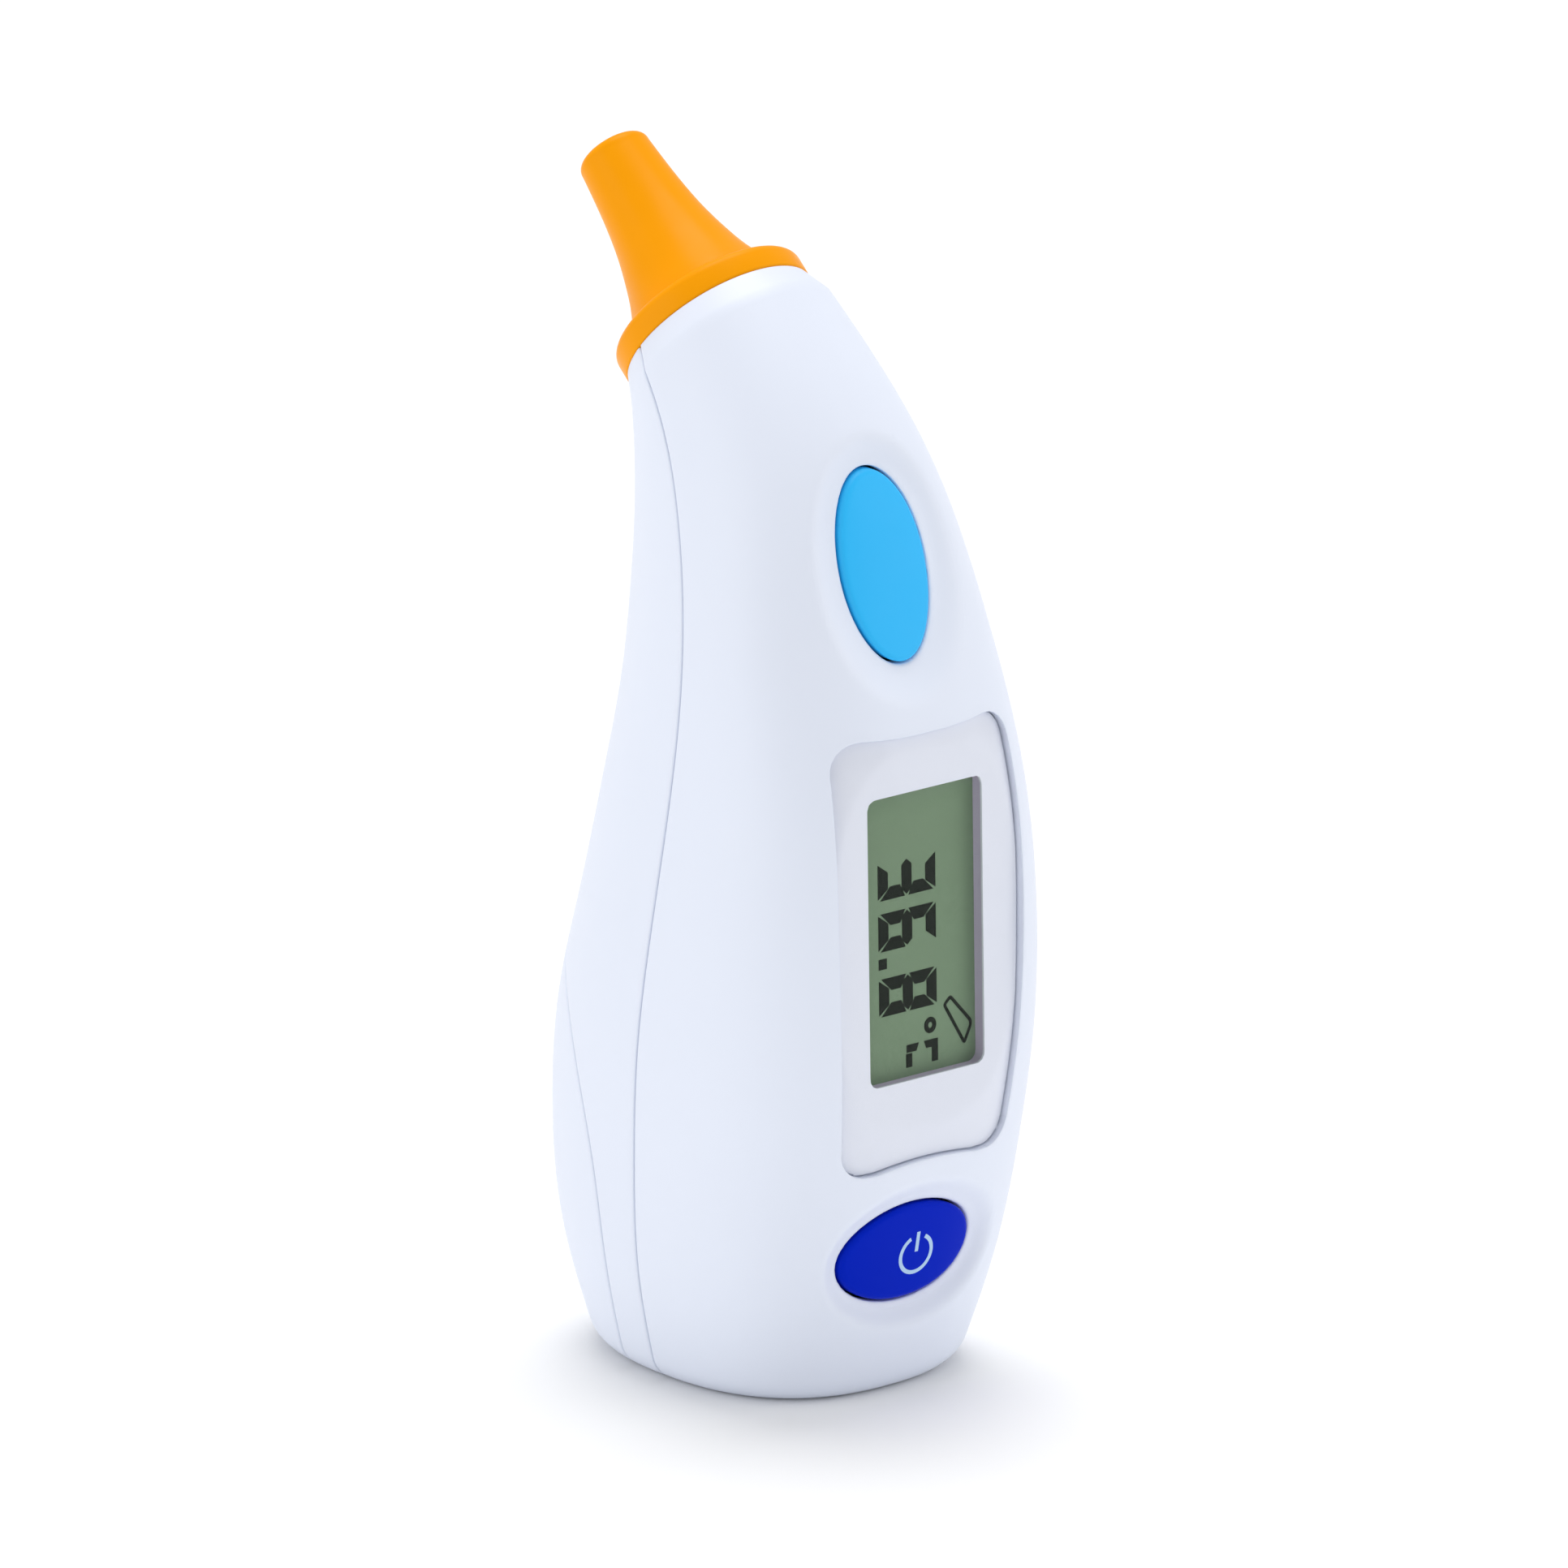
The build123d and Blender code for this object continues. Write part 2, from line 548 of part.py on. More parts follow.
# ---------------------------------------------------------------- probe
def probe_nose():
    edge_in, edge_out = (FLANGE_R - FLANGE_EDGE, FLANGE_H), (FLANGE_R, FLANGE_H - FLANGE_EDGE)
    on_edge = (1 - math.sqrt(0.5)) * FLANGE_EDGE
    base = Polyline(CONE[0], edge_in)
    edge = ThreePointArc(edge_in, (FLANGE_R - on_edge, FLANGE_H - on_edge), edge_out)
    spigot = [(SPIGOT_R, 0), (SPIGOT_R, SPIGOT_LOW), (NOSE_BORE[0][0], SPIGOT_LOW)]
    tip = [(TIP_BORE_R, WINDOW_LOW), (TIP_BORE_R, TIP_END), RIM_TOP]
    under = Polyline(edge_out, (FLANGE_R, 0), *spigot, *NOSE_BORE, *tip)
    rim = ThreePointArc(RIM_TOP, RIM_MIDDLE, CONE[-1])
    nose = about_axis(Spline(*CONE), rim, under, edge, base)
    nose -= ring_on_axis(SEAL_OUT + SKIN, SEAL_IN - SKIN, -0.5, SEAL_H + SKIN)
    for i in range(3):
        nose -= peg_on_axis(NOSE_SCREW_RING, 90 + 120 * i, NOSE_SCREW_R + 0.03, SPIGOT_LOW - 1, 0.8)
    return nose


def probe_mount():
    plate = ring_on_axis(SPIGOT_R, MOUNT_BORE_R, MOUNT_LOW, MOUNT_HIGH)
    mount = plate + ring_on_axis(MOUNT_TUBE_R, MOUNT_BORE_R, MOUNT_LOW, MOUNT_TUBE_HIGH)
    for i in range(3):
        turn, radius = 90 + 120 * i, NOSE_SCREW_R + SKIN
        mount -= peg_on_axis(NOSE_SCREW_RING, turn, radius, MOUNT_LOW - 1, MOUNT_HIGH + 1)
    return mount


def nose_screw(i):
    turn = 90 + 120 * i
    head = peg_on_axis(NOSE_SCREW_RING, turn, NOSE_HEAD_R, MOUNT_LOW - NOSE_HEAD_H, MOUNT_LOW)
    return head + peg_on_axis(NOSE_SCREW_RING, turn, NOSE_SCREW_R, MOUNT_LOW, 0.5)


def sensor_sleeve():
    """Metal sleeve that keeps the sensor and the wave guide at one temperature."""
    return about_axis(Polyline(*SLEEVE, close=True))


def thermopile_can():
    rim_high = CAN_LOW + CAN_RIM_H
    return ring_on_axis(CAN_RIM_R, 0, CAN_LOW, rim_high) + ring_on_axis(CAN_R, 0, rim_high, CAN_HIGH)


def thermopile_lead(i):
    return peg_on_axis(LEAD_RING, 45 + 90 * i, LEAD_R, LEAD_LOW, CAN_LOW)


def sensor_wire(i):
    """Wire from the end of one sensor lead down to the connector."""
    start = (AXIS_PLANE * Rot(0, 0, 45 + 90 * i) * Pos(LEAD_RING, 0, LEAD_LOW)).position
    x = (i - 1.5) * 1.5
    points = [(start.X, start.Y, start.Z), (x, -13.0, 101.0), (x, -13.0, 95.0)]
    return wire(points, 5.0, SENSOR_WIRE_R)


# ---------------------------------------------------------------- write every piece
def main():
    os.makedirs("parts", exist_ok=True)
    hollow = shell()
    save("front_housing", front_housing(hollow))
    save("rear_housing", rear_housing(hollow))
    save("battery_cover", battery_cover(hollow))
    save("battery_cover_pad", cover_pad())
    save("housing_screws", *[housing_screw(x, z) for x, z in HOUSING_SCREWS])

    save("display_lens", lens())
    save("display_mask", display_mask())
    save("scan_button_cap", button_cap(SCAN_Z, SCAN_A, SCAN_B, SCAN_SUNK, SCAN_SWITCH_Z))
    power_cap = button_cap(POWER_Z, POWER_A, POWER_B, POWER_SUNK, POWER_Z)
    icon = power_icon()
    save("power_button_cap", power_cap - icon)
    save("power_icon_inlay", icon)

    glass_back = LCD_DEPTH + POLARIZER + 2 * GLASS
    save("lcd_holder", lcd_holder())
    save("lcd_front_polarizer", display_plate(LCD_W - 1, LCD_H - 1, LCD_DEPTH, LCD_DEPTH + POLARIZER))
    save("lcd_front_glass", display_plate(LCD_W, LCD_H, glass_back - 2 * GLASS, glass_back - GLASS))
    save("lcd_rear_glass", display_plate(LCD_W, LCD_H, glass_back - GLASS, glass_back))
    save("lcd_reflector", display_plate(REFLECTOR_W, LCD_H - 2, glass_back, glass_back + POLARIZER))
    save("zebra_strips", zebra_strip(-1), zebra_strip(1))

    save("main_board", main_board())
    save("board_screws", *[board_screw(x, z) for x, z in BOARD_SCREWS])
    save("scan_switch_body", switch_body(SCAN_SWITCH_Z))
    save("scan_switch_plunger", switch_plunger(SCAN_SWITCH_Z))
    save("power_switch_body", switch_body(POWER_Z))
    save("power_switch_plunger", switch_plunger(POWER_Z))
    save("microcontroller", on_board(0, 38, 12, 12, 1.6))
    save("sensor_amplifier", on_board(0, 80, 5, 4, 1.5))
    save("crystal", on_board(-9.0, 50, 3.2, 8, 2.4))
    capacitors = [on_board(9.5, 44 + 3 * i, 3.2, 1.6, 1.3) for i in range(4)]
    save("capacitors", *capacitors)
    save("sensor_connector", on_board(0, 92.5, 8, 5, 3.5))
    save("buzzer", rod_y(0, 64, 7.0, BOARD_BACK, BOARD_BACK + 2.6))

    negative, positive, bridge = battery_contacts()
    save("battery_tray", battery_tray())
    save("battery_left", cell(-1))
    save("battery_right", cell(1))
    save("battery_negative_contact", negative)
    save("battery_positive_contact", positive)
    save("battery_bridge_contact", bridge)
    save("battery_wires", battery_wire(-1), battery_wire(1))

    save("probe_nose", probe_nose())
    save("probe_seal_ring", ring_on_axis(SEAL_OUT, SEAL_IN, 0, SEAL_H))
    save("probe_window", ring_on_axis(TIP_BORE_R - SKIN, 0, WINDOW_LOW, WINDOW_HIGH))
    save("probe_mount", probe_mount())
    save("nose_screws", *[nose_screw(i) for i in range(3)])
    save("sensor_sleeve", sensor_sleeve())
    save("wave_guide", ring_on_axis(GUIDE_R, GUIDE_BORE_R, GUIDE_LOW, GUIDE_HIGH))
    save("thermopile_can", thermopile_can())
    save("thermopile_filter", ring_on_axis(FILTER_R, 0, CAN_HIGH, CAN_HIGH + FILTER_H))
    save("thermopile_leads", *[thermopile_lead(i) for i in range(4)])
    save("sensor_retainer", ring_on_axis(SLEEVE_IN_R - SKIN, RETAINER_IN_R, RETAINER_LOW, CAN_LOW))
    save("sensor_wires", *[sensor_wire(i) for i in range(4)])


if __name__ == "__main__":
    main()
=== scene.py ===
import json
import math

import bmesh
import bpy
import numpy as np
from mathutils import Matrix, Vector


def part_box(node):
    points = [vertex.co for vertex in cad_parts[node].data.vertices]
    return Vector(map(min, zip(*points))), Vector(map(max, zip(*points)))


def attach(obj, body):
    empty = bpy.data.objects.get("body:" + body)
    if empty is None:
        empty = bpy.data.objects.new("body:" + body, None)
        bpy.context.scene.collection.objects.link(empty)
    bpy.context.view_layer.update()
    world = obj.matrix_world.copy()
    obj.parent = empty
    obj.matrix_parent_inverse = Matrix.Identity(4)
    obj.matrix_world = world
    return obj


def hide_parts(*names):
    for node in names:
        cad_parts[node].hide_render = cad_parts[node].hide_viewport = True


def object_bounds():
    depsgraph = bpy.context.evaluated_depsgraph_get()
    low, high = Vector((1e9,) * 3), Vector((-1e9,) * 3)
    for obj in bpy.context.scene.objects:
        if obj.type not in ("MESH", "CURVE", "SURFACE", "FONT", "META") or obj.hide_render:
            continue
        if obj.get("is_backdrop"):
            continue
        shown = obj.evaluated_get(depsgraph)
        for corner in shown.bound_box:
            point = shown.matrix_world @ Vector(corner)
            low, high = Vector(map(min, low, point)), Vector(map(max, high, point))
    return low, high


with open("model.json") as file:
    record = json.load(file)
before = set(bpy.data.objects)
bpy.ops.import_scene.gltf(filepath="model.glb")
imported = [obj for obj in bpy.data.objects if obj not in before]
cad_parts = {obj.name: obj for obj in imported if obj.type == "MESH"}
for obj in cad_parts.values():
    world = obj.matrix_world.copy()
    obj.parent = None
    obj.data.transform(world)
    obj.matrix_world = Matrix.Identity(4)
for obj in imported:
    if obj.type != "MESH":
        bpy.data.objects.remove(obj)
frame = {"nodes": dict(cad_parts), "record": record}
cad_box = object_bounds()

# Looks of the digital ear thermometer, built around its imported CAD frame. Lengths are in
# millimetres in the part frame (+Z up, front towards -Y, symmetric about X = 0) and become
# metres when a mesh is made.
MM = 0.001

# ---------------------------------------------------------------- driving dimensions, as in the CAD
# height, backward tilt in degrees, centre y, front depth, back depth, half-width, front and back exponent
STATIONS = [
    (0.0, 0.0, -1.5, 21.0, 22.1, 18.9, 2.4, 2.4),
    (14.0, 0.0, -1.7, 23.9, 27.2, 22.0, 2.9, 2.4),
    (28.0, 0.0, -2.5, 25.8, 29.4, 23.3, 3.1, 2.4),
    (43.0, 0.0, -4.0, 26.5, 29.0, 24.0, 3.1, 2.4),
    (58.0, 3.0, -5.9, 25.1, 26.9, 23.4, 3.1, 2.4),
    (74.0, 8.0, -7.1, 22.5, 25.8, 21.5, 3.0, 2.3),
    (90.0, 17.0, -6.9, 17.7, 24.5, 19.5, 2.7, 2.2),
    (105.5, 31.0, -2.4, 17.0, 22.3, 16.4, 2.3, 2.1),
]
AXIS_TILT = 48.5
COLLAR_Y, COLLAR_Z = 9.55, 122.9
COLLAR_H, COLLAR_BASE_R, COLLAR_TOP_R, COLLAR_BORE_R = 3.3, 13.5, 12.2, 10.45
BASE_FILLET, WALL = 3.0, 2.4
COVER_LINE = [
    (4.7, -5.0),
    (4.7, 10.0),
    (5.5, 24.0),
    (9.0, 37.3),
    (13.5, 46.3),
    (18.5, 50.5),
    (26.0, 52.0),
]
SCAN = {"z": 100.85, "a": 6.2, "b": 10.85, "sunk": 1.1}
POWER = {"z": 18.0, "a": 9.8, "b": 6.05, "sunk": 1.4}
DISPLAY_Y, DISPLAY_Z, DISPLAY_TILT = -28.05, 57.9, 1.15
OPENING_W, OPENING_H, OPENING_R = 17.5, 35.0, 1.2
LENS_HIGH, LENS_LOW, LENS_WIDE, LENS_MIDDLE, LENS_NARROW = 82.9, 28.7, 13.1, 13.9, 12.1
LENS_DIP, LENS_ARCH, LENS_CORNER, LENS_EDGE, LENS_WAIST = 0.8, 1.7, 3.6, 0.85, 55.0
LCD_DEPTH = 1.9

LEAN = math.radians(AXIS_TILT)
AXIS = np.array([0.0, math.sin(LEAN), math.cos(LEAN)])
AXIS_SIDE = np.array([0.0, -math.cos(LEAN), math.sin(LEAN)])
COLLAR_TOP = np.array([0.0, COLLAR_Y, COLLAR_Z])


# ---------------------------------------------------------------- body surface
def natural_spline(xs, ys):
    """Natural cubic spline through the points, as a function that takes arrays."""
    xs, ys = np.array(xs, float), np.array(ys, float)
    n, gaps = len(xs), np.diff(xs)
    system, right = np.eye(n), np.zeros(n)
    for i in range(1, n - 1):
        system[i, i - 1 : i + 2] = gaps[i - 1], 2 * (gaps[i - 1] + gaps[i]), gaps[i]
        right[i] = 6 * ((ys[i + 1] - ys[i]) / gaps[i] - (ys[i] - ys[i - 1]) / gaps[i - 1])
    bends = np.linalg.solve(system, right)

    def value(x):
        x = np.clip(x, xs[0], xs[-1])
        i = np.clip(np.searchsorted(xs, x, side="right") - 1, 0, n - 2)
        below, above, gap = x - xs[i], xs[i + 1] - x, gaps[i]
        curve = (bends[i] * above**3 + bends[i + 1] * below**3) / (6 * gap)
        left = (ys[i] / gap - bends[i] * gap / 6) * above
        return curve + left + (ys[i + 1] / gap - bends[i + 1] * gap / 6) * below

    return value


def on_axis(s):
    return COLLAR_TOP + s * AXIS


COLLAR_BASE = on_axis(-COLLAR_H)
COLLAR_STATION = (COLLAR_BASE[2], AXIS_TILT, COLLAR_BASE[1]) + (COLLAR_BASE_R,) * 3 + (2.0, 2.0)
ALL_STATIONS = STATIONS + [COLLAR_STATION]
HEIGHTS = [station[0] for station in ALL_STATIONS]
CURVES = [natural_spline(HEIGHTS, [station[k] for station in ALL_STATIONS]) for k in range(8)]
TOP_LEVEL = HEIGHTS[-1]


def body_points(level, turn, inset=0.0):
    """Points of the outer form. level is a station height, and past the last one it runs up the collar."""
    z, tilt, yc, front, back, half, n_front, n_back = [curve(level) for curve in CURVES]
    along = np.clip(level - TOP_LEVEL, 0, COLLAR_H)
    narrow = along * (COLLAR_BASE_R - COLLAR_TOP_R) / COLLAR_H
    yc, z = yc + along * AXIS[1], z + along * AXIS[2]
    c, s = np.cos(turn), np.sin(turn)
    depth = np.where(s < 0, front, back) - narrow - inset
    power = np.where(s < 0, n_front, n_back)
    reach = (np.abs(c / (half - narrow - inset)) ** power + np.abs(s / depth) ** power) ** (-1 / power)
    lean = np.radians(tilt)
    return np.stack([reach * c, yc + reach * s * np.cos(lean), z - reach * s * np.sin(lean)], -1)


def front_y(x, z, inset=0.0):
    """y of the front of the body, moved inwards by inset, above the point (x, z)."""
    level = np.array(z, float)
    for _ in range(24):
        _, tilt, yc, front, _, half, power, _ = [curve(level) for curve in CURVES]
        across = np.clip(np.abs(x) / (half - inset), 0, 0.999)
        depth = (front - inset) * (1 - across**power) ** (1 / power)
        level = z - depth * np.sin(np.radians(tilt))
    return yc - depth * np.cos(np.radians(tilt))


def display_y(z, depth=0.0):
    """y of the leaning display plane, depth behind it."""
    lean = math.radians(DISPLAY_TILT)
    return DISPLAY_Y + depth / math.cos(lean) + (z - DISPLAY_Z) * math.tan(lean)


# ---------------------------------------------------------------- dividing lines
def line_distance(points, line, closed=False):
    """Signed distance in a plane from the points to a line of many short runs, with the direction
    away from it. It is positive on the left of the line's direction."""
    start = line if closed else line[:-1]
    run = (np.roll(line, -1, 0) if closed else line[1:]) - start
    best = np.full(len(points), np.inf)
    away = np.zeros((len(points), 2))
    for p, r in zip(start, run):
        offset = points - p
        share = np.clip(offset @ r / (r @ r), 0, 1)
        gap = offset - share[:, None] * r
        size = np.hypot(gap[:, 0], gap[:, 1])
        near = size < np.abs(best)
        side = np.where(r[0] * offset[:, 1] - r[1] * offset[:, 0] > 0, 1.0, -1.0)
        best[near] = (size * side)[near]
        away[near] = (gap * side[:, None] / np.maximum(size, 1e-9)[:, None])[near]
    return best, away


def smooth_line(points, steps):
    points = np.array(points, float)
    lengths = np.concatenate([[0], np.cumsum(np.hypot(*np.diff(points, axis=0).T))])
    at = np.linspace(0, lengths[-1], steps)
    return np.stack([natural_spline(lengths, points[:, k])(at) for k in (0, 1)], -1)


def parting_distance(co):
    """Distance in the (y, z) plane in front of the parting line through the station centres."""
    heights = [-4.0] + HEIGHTS[1:] + [on_axis(6.0)[2]]
    line = natural_spline(heights, [STATIONS[0][2]] + [s[2] for s in ALL_STATIONS[1:]] + [on_axis(6.0)[1]])
    slope = (line(co[:, 2] + 0.1) - line(co[:, 2] - 0.1)) / 0.2
    size = np.sqrt(1 + slope**2)
    gradient = np.stack([np.zeros(len(co)), -1 / size, slope / size], -1)
    return (line(co[:, 2]) - co[:, 1]) / size, gradient


COVER_CURVE = smooth_line(COVER_LINE + [(34.0, 53.0)], 90)


def cover_distance(co):
    """Distance in the (y, z) plane inside the edge of the battery cover."""
    distance, away = line_distance(co[:, 1:], COVER_CURVE)
    return -distance, np.stack([np.zeros(len(co)), -away[:, 0], -away[:, 1]], -1)


def ellipse_line(button, steps=180):
    turn = np.linspace(0, 2 * math.pi, steps, endpoint=False)
    return np.stack([button["a"] * np.cos(turn), button["z"] + button["b"] * np.sin(turn)], -1)


def arc_points(start, middle, end, steps):
    """Points on the arc through three points, without the last one."""
    (ax, ay), (bx, by), (cx, cy) = start, middle, end
    d = 2 * (ax * (by - cy) + bx * (cy - ay) + cx * (ay - by))
    a2, b2, c2 = ax**2 + ay**2, bx**2 + by**2, cx**2 + cy**2
    ux = (a2 * (by - cy) + b2 * (cy - ay) + c2 * (ay - by)) / d
    uy = (a2 * (cx - bx) + b2 * (ax - cx) + c2 * (bx - ax)) / d
    first, last = math.atan2(ay - uy, ax - ux), math.atan2(cy - uy, cx - ux)
    turn = (last - first + math.pi) % (2 * math.pi) - math.pi
    at = first + turn * np.arange(steps) / steps
    radius = math.hypot(ax - ux, ay - uy)
    return np.stack([ux + radius * np.cos(at), uy + radius * np.sin(at)], -1)


def lens_line():
    """Lens outline, anticlockwise seen from the front: hollow top, bowed sides, arched lower edge."""
    corners = [
        (LENS_WIDE, LENS_HIGH),
        (-LENS_WIDE, LENS_HIGH),
        (-LENS_NARROW, LENS_LOW),
        (LENS_NARROW, LENS_LOW),
    ]
    middles = [
        (0, LENS_HIGH - LENS_DIP),
        (-LENS_MIDDLE, LENS_WAIST),
        (0, LENS_LOW + LENS_ARCH),
        (LENS_MIDDLE, LENS_WAIST),
    ]
    sides = [arc_points(corners[i], middles[i], corners[(i + 1) % 4], 60) for i in range(4)]
    return round_corners(sides, LENS_CORNER)


def round_corners(sides, radius):
    """Joins sides, each a run of points, with an arc of the given radius at each corner."""
    pieces = []
    for i, side in enumerate(sides):
        after = sides[(i + 1) % len(sides)]
        corner = after[0]
        inward = unit(side[-1] - corner)
        onward = unit(after[1] - corner)
        half = math.acos(float(np.clip(inward @ onward, -1, 1))) / 2
        reach = radius / math.tan(half)
        centre = corner + unit(inward + onward) * radius / math.sin(half)
        start, end = corner + inward * reach, corner + onward * reach
        keep = np.hypot(*(side - corner).T) > reach * 1.02
        before = sides[i - 1][-1]
        keep &= np.hypot(*(side - side[0]).T) > trim_length(before, side, radius) * 1.02
        middle = centre - unit(inward + onward) * radius
        pieces += [side[keep], arc_points(start, middle, end, 14), end[None]]
    return np.concatenate(pieces)


def trim_length(before, side, radius):
    """Length that a corner's arc takes from the start of a side."""
    inward, onward = unit(before - side[0]), unit(side[1] - side[0])
    return radius / math.tan(math.acos(float(np.clip(inward @ onward, -1, 1))) / 2)


def unit(v):
    return v / np.linalg.norm(v)


SCAN_LINE, POWER_LINE, LENS_LINE = ellipse_line(SCAN), ellipse_line(POWER), lens_line()


def opening_line():
    w, h, r = OPENING_W / 2 - OPENING_R, OPENING_H / 2 - OPENING_R, OPENING_R
    turn = np.linspace(0, math.pi / 2, 9)
    quarters = []
    for i, (sx, sz) in enumerate([(1, 1), (-1, 1), (-1, -1), (1, -1)]):
        at = turn + i * math.pi / 2
        quarters.append(np.stack([sx * w + r * np.cos(at), DISPLAY_Z + sz * h + r * np.sin(at)], -1))
    return np.concatenate(quarters)


OPENING_LINE = opening_line()


def outline_distance(line, front_only=True):
    """A field for cutting: distance outside a closed line in the (x, z) plane."""
    low, high = line.min(0) - 9.0, line.max(0) + 9.0

    def field(co):
        flat = co[:, [0, 2]]
        near = np.all((flat > low) & (flat < high), 1)
        if front_only:
            near &= co[:, 1] < 0
        distance = np.full(len(co), 99.0)
        gradient = np.zeros((len(co), 3))
        if near.any():
            found, away = line_distance(flat[near], line, closed=True)
            distance[near] = -found
            gradient[np.ix_(near, [0, 2])] = -away
        return distance, gradient

    return field


scan_distance = outline_distance(SCAN_LINE)
power_distance = outline_distance(POWER_LINE)
lens_distance = outline_distance(LENS_LINE)


def along_surface(field, shift, co, normals):
    """The field's distance past shift, measured along the surface."""
    distance, gradient = field(co)
    dot = np.einsum("ij,ij->i", gradient, normals)
    return (distance - shift) / np.sqrt(np.clip(1 - dot**2, 0.08, 1))


# ---------------------------------------------------------------- mesh tools
def make_object(name, co, faces, body, material, slot, nodes=(), sharp=35):
    """A finished piece from points in millimetres, riding on a body, standing for CAD nodes."""
    mesh = bpy.data.meshes.new(name)
    mesh.from_pydata([tuple(p) for p in np.asarray(co) * MM], [], [tuple(f) for f in faces])
    work = bmesh.new()
    work.from_mesh(mesh)
    bmesh.ops.recalc_face_normals(work, faces=work.faces[:])
    work.to_mesh(mesh)
    work.free()
    mesh.shade_smooth()
    mesh.set_sharp_from_angle(angle=math.radians(sharp))
    piece = bpy.data.objects.new(name, mesh)
    bpy.context.scene.collection.objects.link(piece)
    mesh.materials.append(material)
    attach(piece, body)
    if nodes:
        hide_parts(*nodes)
    return piece


SNAP = 0.12  # a cut this near the end of an edge, as a share of it, moves the end instead


class Sheet:
    """A smooth sheet of faces that can be cut along iso-lines of fields over its points."""

    def __init__(self, co, normals, faces):
        self.bm = bmesh.new()
        self.smooth = self.bm.verts.layers.float_vector.new("smooth")
        verts = [self.bm.verts.new(p) for p in co]
        for v, n in zip(verts, normals):
            v[self.smooth] = n
        for f in faces:
            self.bm.faces.new([verts[i] for i in f])

    def arrays(self):
        self.bm.verts.index_update()
        co = np.array([v.co for v in self.bm.verts])
        normals = np.array([v[self.smooth] for v in self.bm.verts])
        return co, normals

    def cut(self, field, shift, level, locked):
        """Splits the sheet where the field, measured along the surface, equals the level.
        Gives the points on that line, in the order in which they were met."""
        co, normals = self.arrays()
        value = along_surface(field, shift, co, normals) - level
        on_line = {}
        for edge in list(self.bm.edges):
            a, b = edge.verts
            fa, fb = value[a.index], value[b.index]
            if fa * fb > 0 or (fa == 0 and fb == 0):
                continue
            share = fa / (fa - fb)
            near = a if share < 0.5 else b
            if min(share, 1 - share) < SNAP:
                if near in on_line:
                    continue
                if near not in locked:
                    near.co = a.co.lerp(b.co, share)
                    on_line[near] = True
                    continue
                if min(share, 1 - share) < 1e-4:
                    on_line[near] = True
                    continue
            n = a[self.smooth].lerp(b[self.smooth], share).normalized()
            _, made = bmesh.utils.edge_split(edge, a, share)
            made[self.smooth] = n
            on_line[made] = True
        self.settle(field, shift, level, [v for v in on_line if v not in locked])
        locked.update(on_line)
        return on_line

    def settle(self, field, shift, level, verts):
        """Moves the points of an iso-line along the surface until they are on it."""
        if not verts:
            return
        co = np.array([v.co for v in verts])
        normals = np.array([v[self.smooth] for v in verts])
        for _ in range(3):
            distance, gradient = field(co)
            dot = np.einsum("ij,ij->i", gradient, normals)
            size = np.sqrt(np.clip(1 - dot**2, 0.08, 1))
            miss = (distance - shift) / size - level
            co -= (gradient - normals * dot[:, None]) * (miss / size)[:, None]
        for v, spot in zip(verts, co):
            v.co = spot

    def divide(self, on_line):
        """Splits the faces between the points of one iso-line."""
        for face in dict.fromkeys(face for v in on_line for face in v.link_faces):
            marks = [i for i, v in enumerate(face.verts) if v in on_line]
            if len(marks) == 2:
                i, j = marks
                if j - i > 1 and len(face.verts) - (j - i) > 1:
                    bmesh.utils.face_split(face, face.verts[i], face.verts[j])

    def cut_levels(self, field, shift, levels, locked):
        for level in levels:
            self.divide(self.cut(field, shift, level, locked))


def edge_round(distance, radius):
    """Depth of a quarter-round edge, at a distance from it."""
    near = radius - np.clip(distance, 0, radius)
    return radius - np.sqrt(radius**2 - near**2)


def fade(distance, width):
    """1 at the edge, falling smoothly to 0 over the width."""
    return 0.5 + 0.5 * np.cos(math.pi * np.clip(distance / width, 0, 1))


def stitched(faces, front, back, extra_rows=None):
    """Closes a sheet of faces: its front, its back and a wall along every free edge.
    extra_rows gives, for some points, positions that the wall passes on its way back."""
    count = len(front)
    co = [*front, *back]
    chains = {}

    def chain(i):
        if i not in chains:
            middle = []
            for row in (extra_rows or {}).get(i, []):
                middle.append(len(co))
                co.append(row)
            chains[i] = [i, *middle, i + count]
        return chains[i]

    directed = {(f[k], f[(k + 1) % len(f)]) for f in faces for k in range(len(f))}
    made = [tuple(f) for f in faces] + [tuple(i + count for i in reversed(f)) for f in faces]
    for a, b in sorted(directed):
        if (b, a) not in directed:
            one, two = chain(a), chain(b)
            for k in range(len(one) - 1):
                made.append((two[k], one[k], one[k + 1], two[k + 1]))
    used = sorted({i for f in made for i in f})
    index = {old: new for new, old in enumerate(used)}
    return np.array([co[i] for i in used]), [tuple(index[i] for i in f) for f in made]


# ---------------------------------------------------------------- the white shell
COLUMNS, ROW_STEP = 184, 0.8
SEAM_HALF, COVER_HALF, SEAM_ROUND = 0.1, 0.1, 0.3
BUTTON_GAP, BUTTON_ROUND, LENS_GAP, LENS_ROUND = 0.3, 0.35, 0.1, 0.2
SCAN_DISH, SCAN_DISH_W = 1.5, 5.2
POWER_DISH, POWER_DISH_W = 1.75, 3.6
HOLE_WALL, INNER_BLEND, ON_LINE = 1.6, 3.0, 0.3
LEDGE, LEDGE_DEPTH, LEDGE_BACK, LEDGE_THICK = 1.3, 1.3, 0.4, 0.9


